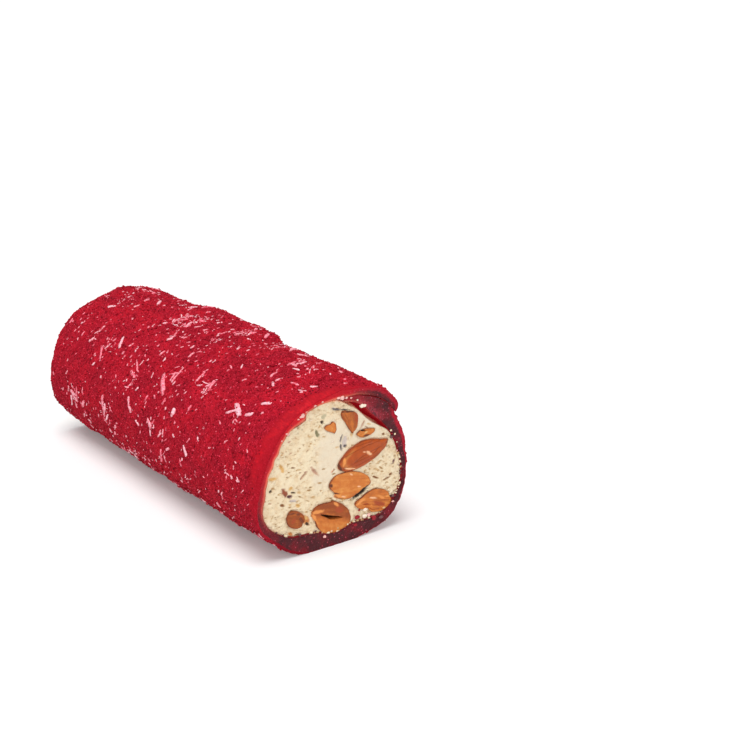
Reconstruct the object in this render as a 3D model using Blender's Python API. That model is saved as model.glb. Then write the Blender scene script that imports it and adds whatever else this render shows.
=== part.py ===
"""A rolled turkish delight: a sheet of lokum rolled once and a bit round a log of almond nougat.

The roll lies along X on the floor, with its near cut at +X and its far cut at -X. A section is read
from the near cut, with Y to the right and Z up, in polar form about the log's axis: 0 degrees points
along +Y and 90 degrees straight up. Lengths are in metres and angles in degrees.
"""

import math
import random
from collections import namedtuple

import bmesh
import bpy
from mathutils import Vector, noise

MM = 0.001
WELD = 1e-6 * MM

# The whole roll
ROLL_LENGTH = 110.5 * MM
AXIS_ACROSS = -0.4 * MM
AXIS_HEIGHT = 18.6 * MM
CENTRING = 0.1 * MM

# Section outlines at the near cut: radii at even steps round the axis, in mm
NOUGAT_RADII = (19.1, 17.4, 15.5, 16.4, 17.4, 17.9, 17.7, 17.7, 18.7, 20.5, 18.2, 14.9, 15.2, 15.3, 19.5, 21.0)
SHEET_RADII = (21.3, 20.9, 20.7, 19.0, 19.2, 19.3, 20.2, 20.7, 21.5, 22.8, 21.4, 20.5, 19.0, 20.0, 22.7, 22.6)

# The knife pinches both ends: what the radii gain from the near cut to the body, at the same steps
BODY_GROWTH = (1.0, 0.9, 0.3, 1.2, 1.8, 1.8, 1.4, 1.2, 0.6, -0.3, 0.5, 0.2, 0.0, 0.2, 0.3, 0.6)
NEAR_PINCH_RUN = 13 * MM
FAR_PINCH_RUN = 12 * MM
FAR_PINCH = 0.45

# The nougat log and the room round it
FIT_GAP = 0.3 * MM
NOUGAT_RECESS = 0.4 * MM
NOUGAT_SIDES = 36
NOUGAT_RINGS = (3 * MM, 7 * MM, 13 * MM)

# The sheet starts as a thin tucked-in end at the top and turns clockwise
TUCK_ANGLE = 80
TUCK_THICKNESS = 0.7 * MM
TUCK_RUN = 14
TUCK_HOLLOW = 0.8 * MM
TUCK_HOLLOW_RUN = 55

# It ends as a flap that overlaps the tucked-in end
SEAM_GAP = 0.3 * MM
FLAP_THICKNESS = 2.1 * MM
FLAP_LIFT_RUN = 20
FLAP_NOSE = 5.5
NEAR_FLAP_ANGLE = 32
BODY_FLAP_ANGLE = 54
FLAP_RISE_RUN = 30 * MM
FLAP_WAVER = 2.5
FLAP_WAVE = 31 * MM

# A fold thickens the flap's edge along the middle of the roll, and stops short at its near end
FOLD_HEIGHT = 1.7 * MM
FOLD_NEAR_END = 16 * MM
FOLD_FAR_END = -34 * MM
FOLD_NEAR_RUN = 3 * MM
FOLD_FAR_RUN = 20 * MM
FOLD_ANGLE = 62
FOLD_SPREAD = 20

# Rounded edges at the cuts, most on the side where the knife came in and dragged the sheet over
EDGE_THICKNESS = 0.25 * MM
SHOULDER_RUN = 0.9 * MM
SHOULDER_LOSS = 0.22
NEAR_DRAG_ANGLE = 155
FAR_DRAG_ANGLE = 10
DRAG_RUN = 2.0 * MM
DRAG_LOSS = 0.5

# Lumps of the powdered coat
LUMP_HEIGHT = 0.45 * MM
LUMP_SIZE = 9 * MM
LUMP_RUN = 12

# Mesh steps of the sheet: even ones over the first turn, ones that stretch with the flap, and its nose's
TURN_COLUMNS = 44
TURN_STRETCH = 340
FLAP_COLUMNS = 5
NOSE_STEPS = (0.4, 0.1, 0)
SHEET_COLUMNS = TURN_COLUMNS + FLAP_COLUMNS + len(NOSE_STEPS)
SHOULDER_STEPS = (0, 0.3 * MM, 0.9 * MM, 1.9 * MM, 3.4 * MM, 6 * MM, 9.5 * MM)
BODY_STATIONS = 22

# The longest coconut shreds of the coat, none of them under the roll
SHRED_COUNT = 90
SHRED_SEED = 7
SHRED_LENGTH = (5.6 * MM, 3.4 * MM)
SHRED_WIDTH = (1.3 * MM, 0.9 * MM)
SHRED_TIP = 0.45
SHRED_TIP_SHARPNESS = 4
SHRED_PROUD = 0.45 * MM
SHRED_SUNK = 0.5 * MM
SHRED_SEGMENTS = 3
SHRED_SPACING = 7 * MM
SHRED_LEAN = 35
SHRED_END_MARGIN = 6 * MM
SHRED_LOWEST = (-38, 218)
SHRED_SEAM_MARGIN = 12

# Almonds: place and size of the outline in the cut, tilt of the long axis, how pointed the right tip is,
# depth into the nougat, and how far a whole one stands out of the cut (0 is cut flush)
Almond = namedtuple("Almond", "name across up length width tilt point depth dome")
NEAR_ALMONDS = (
    Almond("near_almond_whole", 9.0, 21.7, 13.8, 5.6, 14, 0.35, 3.2, 0.7),
    Almond("near_almond_pale", 4.5, 14.1, 11.0, 6.2, -10, 0.2, 9.0, 0),
    Almond("near_almond_slit", -1.1, 7.35, 11.0, 7.2, -20, 0.05, 12.0, 0),
    Almond("near_almond_broken", 11.2, 7.9, 10.2, 5.9, -10, 0.15, 8.0, 0),
    Almond("near_almond_small", -10.7, 9.2, 5.8, 4.7, -20, 0.1, 7.0, 0),
    Almond("near_almond_wedge", 4.6, 30.3, 6.0, 4.4, -77, 0.75, 8.0, 0),
    Almond("near_almond_chip", -0.8, 29.6, 3.6, 2.5, -60, 0.6, 4.0, 0),
    Almond("near_almond_sliver", 9.0, 26.6, 5.3, 1.9, 4, 0.3, 5.0, 0),
)
FAR_ALMONDS = (
    Almond("far_almond_whole", -7.0, 22.0, 15.0, 6.8, 38, 0.35, 3.2, 0.7),
    Almond("far_almond_slit", 7.2, 12.0, 11.2, 7.4, 18, 0.05, 12.0, 0),
    Almond("far_almond_pale", -8.6, 10.6, 10.2, 6.2, -14, 0.2, 9.0, 0),
    Almond("far_almond_wedge", 5.6, 26.2, 6.8, 4.6, 55, 0.7, 8.0, 0),
    Almond("far_almond_small", 1.2, 19.4, 4.8, 3.9, 10, 0.1, 6.0, 0),
    Almond("far_almond_broken", -0.6, 6.6, 6.0, 3.0, 4, 0.25, 6.0, 0),
)
ALMOND_SIDES = 10
ALMOND_RINGS = 7
ALMOND_PROUD = 0.15 * MM
SLIT_LENGTH = 6.0
SLIT_WIDTH = 0.7
SLIT_DEPTH = 2.6
SLIT_POINT = 0.1

# Colours as a screen shows them, 0 to 255
COAT_RED = (168, 30, 45)
NOUGAT_CREAM = (235, 215, 180)
ALMOND_SKIN = (178, 88, 46)
ALMOND_FLESH = (205, 130, 70)
COAT_ROUGHNESS = 0.75
NOUGAT_ROUGHNESS = 0.65
SKIN_ROUGHNESS = 0.35
FLESH_ROUGHNESS = 0.5


def smoothstep(share):
    """Ease from 0 to 1."""
    share = min(max(share, 0), 1)
    return share * share * (3 - 2 * share)


def round_off(distance, run):
    """Quarter-round profile: 0 at an edge, 1 from `run` inward."""
    inward = min(max(1 - distance / run, 0), 1)
    return math.sqrt(1 - inward * inward)


def outline(radii, angle):
    """Radius at an angle on the smooth closed curve through evenly spaced radii given in mm."""
    place = (angle % 360) / 360 * len(radii)
    index = int(place)
    t = place - index
    a, b, c, d = (radii[(index + step) % len(radii)] for step in (-1, 0, 1, 2))
    cubic = 2 * b + (c - a) * t + (2 * a - 5 * b + 4 * c - d) * t**2 + (3 * b - 3 * c + d - a) * t**3
    return cubic / 2 * MM


def body_share(x):
    """How far the section at x has grown from the near cut's outline (0) to the body's (1)."""
    near = max(1 - (ROLL_LENGTH / 2 - x) / NEAR_PINCH_RUN, 0)
    far = max(1 - (ROLL_LENGTH / 2 + x) / FAR_PINCH_RUN, 0)
    return 1 - near**2 - FAR_PINCH * far**2


def in_section(x, across, up):
    """A place of the section at x, kept above the floor."""
    return Vector((x, CENTRING + across, max(up, 0)))


def in_polar(x, angle, radius):
    """The point at a polar place of the near cut's section, grown to the section at x."""
    turn = math.radians(angle)
    grown = radius + outline(BODY_GROWTH, angle) * body_share(x)
    return in_section(x, AXIS_ACROSS + grown * math.cos(turn), AXIS_HEIGHT + grown * math.sin(turn))


def sheet_radii(turned):
    """Inner and outer radius of the sheet, `turned` degrees on from its tucked-in end."""
    angle = TUCK_ANGLE - turned
    bed = outline(NOUGAT_RADII, angle) + FIT_GAP
    free = outline(SHEET_RADII, angle)
    if turned < TUCK_HOLLOW_RUN:
        bed += TUCK_HOLLOW * math.sin(math.pi * turned / TUCK_HOLLOW_RUN)
        full = smoothstep(turned / TUCK_RUN)
        thickness = TUCK_THICKNESS + (free - bed - TUCK_THICKNESS) * full
        return bed, bed + thickness
    lift = smoothstep((turned - 360) / FLAP_LIFT_RUN + 1)
    if lift == 0:
        return bed, free
    under = sheet_radii(max(turned - 360, 0))[1] + SEAM_GAP
    inner = bed + (under - bed) * lift
    outer = free + (under + FLAP_THICKNESS - free) * lift
    return inner, outer


def flap_angle(x):
    """Where round the section the flap ends at x: low at the near cut and higher along the body."""
    rise = smoothstep((ROLL_LENGTH / 2 - x) / FLAP_RISE_RUN)
    waver = FLAP_WAVER * math.sin(2 * math.pi * x / FLAP_WAVE)
    return NEAR_FLAP_ANGLE + (BODY_FLAP_ANGLE - NEAR_FLAP_ANGLE + waver) * rise


def sheet_sweep(x):
    """Degrees that the sheet turns at x, from its tucked-in end to the flap's edge."""
    return TUCK_ANGLE + 360 - flap_angle(x)


def shoulder(x, angle):
    """Share of the sheet's thickness that its rounded edge leaves near a cut."""
    drag_angle = NEAR_DRAG_ANGLE if x > 0 else FAR_DRAG_ANGLE
    drag = max(math.cos(math.radians(angle - drag_angle)), 0)
    rounding = round_off(ROLL_LENGTH / 2 - abs(x), SHOULDER_RUN + DRAG_RUN * drag)
    return 1 - (SHOULDER_LOSS + DRAG_LOSS * drag) * (1 - rounding)


def fold(x, turned):
    """Height that the fold adds to the flap."""
    along = smoothstep((FOLD_NEAR_END - x) / FOLD_NEAR_RUN) * smoothstep((x - FOLD_FAR_END) / FOLD_FAR_RUN)
    off_crest = abs(TUCK_ANGLE + 360 - turned - FOLD_ANGLE) / FOLD_SPREAD
    return FOLD_HEIGHT * along * smoothstep(1 - off_crest)


def outer_radius(x, turned):
    """Radius of the sheet's coated face, with its rounded edges, fold and lumps."""
    angle = TUCK_ANGLE - turned
    inner, outer = sheet_radii(turned)
    to_flap_edge = sheet_sweep(x) - turned
    edge = shoulder(x, angle) * round_off(to_flap_edge, FLAP_NOSE)
    bare = smoothstep((360 - to_flap_edge) / LUMP_RUN)
    lump = LUMP_HEIGHT * noise.noise(in_polar(x, angle, outer) / LUMP_SIZE) * bare
    return inner + max((outer - inner + fold(x, turned) + lump) * edge, EDGE_THICKNESS)


def skin_point(x, angle, height):
    """The point `height` above the face that shows at this angle: the flap where it reaches, else the first turn."""
    turned = (TUCK_ANGLE - angle) % 360
    if turned + 360 < sheet_sweep(x):
        turned += 360
    return in_polar(x, angle, outer_radius(x, turned) + height)


def srgb_to_linear(colour):
    """Linear colour with alpha for a shader, from screen values of 0 to 255."""
    shares = [channel / 255 for channel in colour]
    return [((share + 0.055) / 1.055) ** 2.4 for share in shares] + [1]


def material(name, colour, roughness):
    """A Principled material of one colour."""
    made = bpy.data.materials.new(name)
    made.use_nodes = True
    shader = made.node_tree.nodes["Principled BSDF"]
    shader.inputs["Base Color"].default_value = srgb_to_linear(colour)
    shader.inputs["Roughness"].default_value = roughness
    shader.inputs["Metallic"].default_value = 0
    return made


def add_object(name, mesh, finish, collection=None):
    """Turn a finished bmesh into an object."""
    data = bpy.data.meshes.new(name)
    mesh.to_mesh(data)
    mesh.free()
    data.materials.append(finish)
    made = bpy.data.objects.new(name, data)
    (collection or bpy.context.scene.collection).objects.link(made)
    return made


def add_cutter(name, mesh, finish, collection):
    """A guide solid that cuts another and isn't itself part of the roll."""
    cutter = add_object(name, mesh, finish, collection)
    cutter.hide_render = True
    cutter.display_type = "WIRE"
    return cutter


def new_collection(name):
    """A collection in the scene, for solids that one Boolean takes together."""
    made = bpy.data.collections.new(name)
    bpy.context.scene.collection.children.link(made)
    return made


def combine(target, collection, operation):
    """One Boolean of a whole collection on the target."""
    modifier = target.modifiers.new(operation.lower(), "BOOLEAN")
    modifier.operation = operation
    modifier.solver = "EXACT"
    modifier.operand_type = "COLLECTION"
    modifier.collection = collection


def apply_modifiers(target):
    """Keep the target's evaluated mesh in place of its modifiers."""
    evaluated = target.evaluated_get(bpy.context.evaluated_depsgraph_get())
    data = bpy.data.meshes.new_from_object(evaluated)
    target.modifiers.clear()
    target.data = data


def slice_along(mesh, direction, places):
    """Cut a mesh into rings by planes across a direction."""
    for place in places:
        bmesh.ops.bisect_plane(
            mesh,
            geom=mesh.verts[:] + mesh.edges[:] + mesh.faces[:],
            dist=WELD,
            plane_co=direction * place,
            plane_no=direction,
        )


def sheet_stations():
    """Places along X where the sheet has a ring of vertices, from the near cut to the far one."""
    near = [ROLL_LENGTH / 2 - step for step in SHOULDER_STEPS]
    body = [near[-1] * (1 - 2 * step / BODY_STATIONS) for step in range(1, BODY_STATIONS)]
    return near + body + [-place for place in reversed(near)]


def sheet_turn(column, x):
    """Degrees turned at a column of the sheet."""
    if column <= TURN_COLUMNS:
        return TURN_STRETCH * column / TURN_COLUMNS
    column -= TURN_COLUMNS
    sweep = sheet_sweep(x)
    if column <= FLAP_COLUMNS:
        return TURN_STRETCH + (sweep - FLAP_NOSE - TURN_STRETCH) * column / FLAP_COLUMNS
    return sweep - FLAP_NOSE * NOSE_STEPS[column - FLAP_COLUMNS - 1]


def open_inside(mesh, last):
    """Drop the slab's inner cross edges between the shoulders: the hidden inside runs straight there."""
    first = len(SHOULDER_STEPS)
    crossing = []
    for edge in mesh.edges:
        start, end = (vert.co for vert in edge.verts)
        inside = max(start.z, end.z) < 0.5 and abs(start.y - end.y) < 0.5
        in_body = first <= round(start.y) <= last - first
        in_turn = 0.5 < min(start.x, end.x) and max(start.x, end.x) < TURN_COLUMNS + 0.5
        if inside and in_body and in_turn:
            crossing.append(edge)
    bmesh.ops.dissolve_edges(mesh, edges=crossing, use_verts=True)


def build_wrap(finish):
    """The lokum sheet: a flat slab rolled up round the log, from its tucked-in end to its flap."""
    stations = sheet_stations()
    last = len(stations) - 1
    mesh = bmesh.new()
    bmesh.ops.create_cube(mesh, size=1)
    for vert in mesh.verts:
        vert.co = Vector(((vert.co.x + 0.5) * SHEET_COLUMNS, (vert.co.y + 0.5) * last, vert.co.z + 0.5))
    slice_along(mesh, Vector((1, 0, 0)), range(1, SHEET_COLUMNS))
    slice_along(mesh, Vector((0, 1, 0)), range(1, last))
    open_inside(mesh, last)
    for vert in mesh.verts:
        x = stations[round(vert.co.y)]
        turned = sheet_turn(round(vert.co.x), x)
        radius = outer_radius(x, turned) if vert.co.z > 0.5 else sheet_radii(turned)[0]
        vert.co = in_polar(x, TUCK_ANGLE - turned, radius)
    return add_object("wrap", mesh, finish)


def shred_places():
    """Seeded places for the shreds, spread evenly over the coat: x, angle and lean of each."""
    draw = random.Random(SHRED_SEED)
    reach = ROLL_LENGTH / 2 - SHRED_END_MARGIN
    places = []
    points = []
    while len(places) < SHRED_COUNT:
        x = draw.uniform(-reach, reach)
        angle = draw.uniform(*SHRED_LOWEST)
        lean = 90 + draw.gauss(0, SHRED_LEAN)
        point = skin_point(x, angle, 0)
        near_seam = abs(angle - flap_angle(x)) < SHRED_SEAM_MARGIN
        crowded = any((point - other).length < SHRED_SPACING for other in points)
        if not near_seam and not crowded:
            places.append((x, angle, lean))
            points.append(point)
    return places


def shred_mesh(x, angle, lean, length, width):
    """A shred of coconut: a strip with narrower tips, bent to the roll and half sunk in its coat."""
    mesh = bmesh.new()
    bmesh.ops.create_cube(mesh, size=1)
    cuts = [step / SHRED_SEGMENTS - 0.5 for step in range(1, SHRED_SEGMENTS)]
    slice_along(mesh, Vector((1, 0, 0)), cuts)
    turn = math.radians(lean)
    radius = SHEET_RADII[0] * MM
    for vert in mesh.verts:
        narrowing = 1 - (1 - SHRED_TIP) * (2 * vert.co.x) ** SHRED_TIP_SHARPNESS
        along = vert.co.x * length
        aside = vert.co.y * width * narrowing
        height = SHRED_PROUD if vert.co.z > 0 else -SHRED_SUNK
        place = x + along * math.cos(turn) - aside * math.sin(turn)
        around = along * math.sin(turn) + aside * math.cos(turn)
        vert.co = skin_point(place, angle + math.degrees(around / radius), height)
    bmesh.ops.recalc_face_normals(mesh, faces=mesh.faces)
    return mesh


def fuse_shreds(wrap, finish):
    """Join the longest shreds to the sheet's coat, longest first."""
    shreds = new_collection("shreds")
    for index, (x, angle, lean) in enumerate(shred_places()):
        share = index / (SHRED_COUNT - 1)
        length, width = (long + (short - long) * share for long, short in (SHRED_LENGTH, SHRED_WIDTH))
        add_object(f"shred_{index}", shred_mesh(x, angle, lean, length, width), finish, shreds)
    combine(wrap, shreds, "UNION")
    apply_modifiers(wrap)
    for shred in list(shreds.objects):
        bpy.data.objects.remove(shred)
    bpy.data.collections.remove(shreds)


def build_nougat(finish):
    """The nougat log: a drum whose section follows the sheet's inside along the roll."""
    half = ROLL_LENGTH / 2 - NOUGAT_RECESS
    mesh = bmesh.new()
    bmesh.ops.create_cone(
        mesh, cap_ends=True, segments=NOUGAT_SIDES, radius1=1, radius2=1, depth=2 * half
    )
    rings = [half - ring for ring in NOUGAT_RINGS]
    slice_along(mesh, Vector((0, 0, 1)), rings + [-ring for ring in rings])
    for vert in mesh.verts:
        angle = math.degrees(math.atan2(vert.co.y, vert.co.x))
        vert.co = in_polar(vert.co.z, angle, outline(NOUGAT_RADII, angle))
    return add_object("nougat", mesh, finish)


def almond_mesh(almond, end, spare=0):
    """An almond lying across the cut at one end (1 near, -1 far), `spare` larger all round."""
    half_depth = almond.depth / 2 * MM
    sunk = half_depth - almond.dome * MM if almond.dome else 0
    widest = math.sqrt(1 - (sunk / half_depth) ** 2)
    half_length = almond.length / 2 * MM / widest + spare
    half_width = almond.width / 2 * MM / widest + spare
    face = end * (ROLL_LENGTH / 2 - NOUGAT_RECESS)
    centre = in_section(face, almond.across * MM, almond.up * MM) - Vector((end * sunk, 0, 0))
    tilt = math.radians(almond.tilt)
    along = Vector((0, math.cos(tilt), math.sin(tilt))) * half_length
    aside = Vector((0, -math.sin(tilt), math.cos(tilt))) * half_width
    deep = Vector((half_depth + spare, 0, 0))
    mesh = bmesh.new()
    bmesh.ops.create_uvsphere(mesh, u_segments=ALMOND_SIDES, v_segments=ALMOND_RINGS, radius=1)
    for vert in mesh.verts:
        taper = (1 - almond.point * vert.co.z) / (1 + almond.point**2 / 2)
        vert.co = centre + along * vert.co.z + (aside * vert.co.x + deep * vert.co.y) * taper
    return mesh


def cut_flush(mesh, end):
    """Slice off what stands in front of the cut, as the knife did."""
    normal = Vector((end, 0, 0))
    bmesh.ops.bisect_plane(
        mesh,
        geom=mesh.verts[:] + mesh.edges[:] + mesh.faces[:],
        plane_co=normal * (ROLL_LENGTH / 2 - NOUGAT_RECESS + ALMOND_PROUD),
        plane_no=normal,
        clear_outer=True,
    )
    bmesh.ops.holes_fill(mesh, edges=[edge for edge in mesh.edges if edge.is_boundary])


def build_almonds(almonds, end, skin, flesh, pockets, slits):
    """The almonds that show in one cut, and the pockets that hold them."""
    for almond in almonds:
        mesh = almond_mesh(almond, end)
        if not almond.dome:
            cut_flush(mesh, end)
        made = add_object(almond.name, mesh, skin if almond.dome else flesh)
        add_cutter(f"pocket_{almond.name}", almond_mesh(almond, end, FIT_GAP), flesh, pockets)
        if almond.name.endswith("slit"):
            gap = almond._replace(length=SLIT_LENGTH, width=SLIT_WIDTH, depth=SLIT_DEPTH, point=SLIT_POINT)
            cutter = add_cutter(f"gap_{almond.name}", almond_mesh(gap, end), flesh, slits)
            modifier = made.modifiers.new("slit", "BOOLEAN")
            modifier.operation = "DIFFERENCE"
            modifier.solver = "EXACT"
            modifier.object = cutter


def main():
    for old in list(bpy.data.objects):
        bpy.data.objects.remove(old)
    coat = material("coat", COAT_RED, COAT_ROUGHNESS)
    cream = material("nougat", NOUGAT_CREAM, NOUGAT_ROUGHNESS)
    skin = material("almond_skin", ALMOND_SKIN, SKIN_ROUGHNESS)
    flesh = material("almond_flesh", ALMOND_FLESH, FLESH_ROUGHNESS)
    wrap = build_wrap(coat)
    fuse_shreds(wrap, coat)
    nougat = build_nougat(cream)
    pockets = new_collection("pockets")
    slits = new_collection("slits")
    build_almonds(NEAR_ALMONDS, 1, skin, flesh, pockets, slits)
    build_almonds(FAR_ALMONDS, -1, skin, flesh, pockets, slits)
    combine(nougat, pockets, "DIFFERENCE")


main()
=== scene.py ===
"""The looks of a rolled turkish delight: red powder and coconut outside, nougat and almonds in its cuts.

It reads like the solids' source. The roll lies along X, its shown cut at +X. A section is read from that
cut, with Y to the right and Z up, in polar form about the log's axis: 0 degrees points along +Y and 90
degrees straight up. Lengths are in metres and angles in degrees.
"""

import math
import random
from collections import namedtuple
from math import cos, radians, sin

import bmesh
import bpy
from bpy.props import FloatProperty, FloatVectorProperty, IntProperty, PointerProperty
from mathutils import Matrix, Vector, kdtree, noise


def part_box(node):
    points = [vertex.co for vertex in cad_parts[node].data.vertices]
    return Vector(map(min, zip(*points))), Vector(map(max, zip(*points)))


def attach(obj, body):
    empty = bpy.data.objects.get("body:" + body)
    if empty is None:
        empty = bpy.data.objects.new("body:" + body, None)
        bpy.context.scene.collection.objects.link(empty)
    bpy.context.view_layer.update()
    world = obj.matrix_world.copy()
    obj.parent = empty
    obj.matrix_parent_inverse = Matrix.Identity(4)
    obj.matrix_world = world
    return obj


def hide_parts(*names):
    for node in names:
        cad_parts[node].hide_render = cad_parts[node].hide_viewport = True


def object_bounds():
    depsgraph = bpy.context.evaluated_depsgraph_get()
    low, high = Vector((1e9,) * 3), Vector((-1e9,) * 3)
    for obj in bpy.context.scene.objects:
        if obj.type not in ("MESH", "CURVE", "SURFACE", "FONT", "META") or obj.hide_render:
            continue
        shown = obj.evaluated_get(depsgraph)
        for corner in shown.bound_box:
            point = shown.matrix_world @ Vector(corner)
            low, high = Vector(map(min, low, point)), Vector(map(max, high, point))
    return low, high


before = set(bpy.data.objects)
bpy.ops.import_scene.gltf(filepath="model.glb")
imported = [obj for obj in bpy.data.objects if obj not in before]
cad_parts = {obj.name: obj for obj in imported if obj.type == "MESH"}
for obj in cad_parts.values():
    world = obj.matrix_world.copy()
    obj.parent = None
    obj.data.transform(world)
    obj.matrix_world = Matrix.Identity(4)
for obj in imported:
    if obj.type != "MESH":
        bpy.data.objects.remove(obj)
CAD_LOW, CAD_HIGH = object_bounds()

bl_info = {
    "name": "Rolled turkish delight",
    "version": (1, 0, 0),
    "blender": (4, 5, 0),
    "location": "3D View > Sidebar > Sweets",
    "description": "Dresses the solids of a rolled turkish delight",
    "category": "Add Mesh",
}

MM = 0.001

# The whole roll: its cuts lie at X = END and -END
END = (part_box("wrap")[1].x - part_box("wrap")[0].x) / 2
AXIS_ACROSS = -0.3 * MM
AXIS_HEIGHT = 18.6 * MM

# Section outlines at the near cut: radii at even steps round the axis, in mm
NOUGAT_RADII = (
    19.1, 17.4, 15.5, 16.4, 17.4, 17.9, 17.7, 17.7, 18.7, 20.5, 18.2, 14.9, 15.2, 15.3, 19.5, 21
)
SHEET_RADII = (
    21.3, 20.9, 20.7, 19, 19.2, 19.3, 20.2, 20.7, 21.5, 22.8, 21.4, 20.5, 19, 20, 22.7, 22.6
)
BODY_GROWTH = (1, 0.9, 0.3, 1.2, 1.8, 1.8, 1.4, 1.2, 0.6, -0.3, 0.5, 0.2, 0, 0.2, 0.3, 0.6)
COAT_RADIUS = 21 * MM
NEAR_PINCH_RUN = 13 * MM
FAR_PINCH_RUN = 12 * MM
FAR_PINCH = 0.45

# The sheet: its bed round the log, its tucked-in end, its flap with a fold, and its rounded edges
FIT_GAP = 0.3 * MM
TUCK_ANGLE = 80
TUCK_THICKNESS = 0.7 * MM
TUCK_RUN = 14
TUCK_HOLLOW = 0.8 * MM
TUCK_HOLLOW_RUN = 55
SEAM_GAP = 0.3 * MM
FLAP_THICKNESS = 2.1 * MM
FLAP_LIFT_RUN = 20
FLAP_NOSE = 5.5
NEAR_FLAP_ANGLE = 32
BODY_FLAP_ANGLE = 54
FLAP_RISE_RUN = 30 * MM
FLAP_WAVER = 2.5
FLAP_WAVE = 31 * MM
FOLD_HEIGHT = 1.7 * MM
FOLD_ENDS = (-34 * MM, -14 * MM, 13 * MM, 16 * MM)
FOLD_ANGLE = 62
FOLD_SPREAD = 20
EDGE_THICKNESS = 0.25 * MM
SHOULDER_RUN = 0.9 * MM
SHOULDER_LOSS = 0.14
NEAR_DRAG_ANGLE = 146
FAR_DRAG_ANGLE = 10
DRAG_RUN = 2.0 * MM
DRAG_LOSS = 0.5
LUMP_HEIGHT = 0.45 * MM
LUMP_SIZE = 9 * MM
LUMP_RUN = 12

# Relief of the powder: height and size of each grade, coarse to fine, and how much a smear takes off it
POWDER_RELIEF = ((0.24 * MM, 3.1 * MM), (0.2 * MM, 1.3 * MM), (0.18 * MM, 0.62 * MM))
SMEARED_AWAY = 0.65

# The largest shreds that show: x in mm, angle, lean from the roll's length, length and width in mm
NAMED_SHREDS = (
    (6.5, 146, 48, 6, 1.3),
    (-8.8, 84, 29, 4, 1.5),
    (-22.5, 134, 57, 3.7, 0.7),
    (-27.5, 148, 60, 3.9, 0.6),
    (-8.5, 150, 19, 3.2, 0.9),
    (-21, 182, 80, 5.5, 0.8),
    (24.5, 132, 72, 3.2, 0.8),
    (23.8, 132, 131, 2.6, 0.5),
    (39.8, 138, 31, 4.3, 1.3),
    (16.2, 159, 104, 2.1, 1.1),
    (5.8, 174, 34, 3, 0.8),
    (24.2, 178, 58, 2.8, 0.7),
    (-40.5, 186, 10, 2.6, 0.8),
    (-34, 190, 138, 3, 1),
    (46.5, 126, 140, 2.6, 0.7),
    (36.8, 88, 81, 2.6, 0.6),
    (37.8, 89, 6, 4, 0.5),
    (26, 68, 62, 3.4, 0.7),
    (42.2, 112, 34, 1.8, 0.6),
)

# Middles of the clusters of shreds that show: x in mm and angle
NAMED_CLUSTERS = (
    (-10, 96), (-14, 92), (-9, 84), (8, 80), (22, 74), (44, 88),
    (-8, 150), (-26, 140), (24, 132), (40, 138), (-40, 188), (-21, 186),
)

# Where the knife smeared the sheet: how far in from the cut and how far round, where a band of the smear is
# darkened as painted shade, the ragged lip that it drew over the nougat, and one broader tongue of it at the
# near cut
NEAR_SMEAR_ANGLE = 133
SMEAR_RUN = 1.5 * MM
SMEAR_GROWTH = 2.6 * MM
SMEAR_GROWTH_SPREAD = 60
SMEAR_SPREAD = 86
SMEAR_SHADE_ANGLES = (128, 156)
SMEAR_SHADE_RUN = 0.7 * MM
SMEAR_SHADE = 0.45
LIP = 0.3 * MM
LIP_WAVE = 2.2 * MM
TONGUE = 1.5 * MM
TONGUE_ANGLES = (114, 118, 118, 136)

# The sheet's cut face: the crust of its coat, wider towards the top as painted light, the powder between its
# turns, and its relief. Its underside is darkened as painted shade, and the coat is rolled over the near cut
# at the top
UNDERSIDE_SHADE = 0.8
UNDERSIDE_SHADE_FROM = 0.42
UNDERSIDE_SHADE_RUN = 0.3
ROLLED_OVER_ANGLES = (66, 78, 120, 140)
CRUST = 0.2 * MM
TOP_LIGHT_CRUST_GROWTH = 1.4 * MM
BETWEEN_RUN = 1.6 * MM
BETWEEN_START = 8
CUT_RELIEF = 0.18 * MM
CUT_LUMP = 1.3 * MM

# Shreds: rare near the cut that the knife dragged and away from the middle of the roll, and how many are
# drawn together, and how deep they lie in the coat in mm
SHRED_FREE_RUN = 4 * MM
SPARSE_SHARE = 0.4
SPARSE_FROM = 12 * MM
SPARSE_RUN = 16 * MM
CLUSTERS = 16
CLUSTERED_SHARE = 0.3
SHRED_SUNK = 0.25

# Kinds of shreds: those that show one by one, seed, sections, lengths, widths and height, in mm
SHREDS = (
    ("long_shreds", NAMED_SHREDS, 3, 5, (1.8, 4.6), (0.35, 0.85), 0.24),
    ("short_shreds", (), 5, 2, (0.6, 2), (0.28, 0.55), 0.18),
    ("fine_shreds", (), 7, 1, (0.3, 0.9), (0.2, 0.36), 0.16),
)

# Mesh steps of the sheet
SHEET_STEP = 0.48 * MM
SHEET_COLUMNS = 322
NOSE_STEPS = (0.93, 0.8, 0.6, 0.4, 0.22, 0.1, 0.03, 0)
SHOULDER_STEPS = (0, 0.1, 0.25, 0.45, 0.7, 1.05, 1.45)
CUT_STEPS = 7
HIDDEN_DEPTHS = (13, 6, 2.5, 0.8)
HIDDEN_SLOPE = 1.6 * MM

# The log's cut ends: they stand back from the sheet's, more so at the seam, and their rim is stained
NOUGAT_RECESS = 0.4 * MM
SEAM_RECESS = 0.75 * MM
SEAM_RECESS_ANGLES = (18, 34, 70, 86)
STAIN_RUN = 0.6 * MM
NOUGAT_END = END - NOUGAT_RECESS
NOUGAT_CELLS = 172
NOUGAT_SPREAD = 0.25 * MM
NOUGAT_ROUNDING = 0.35 * MM

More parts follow.
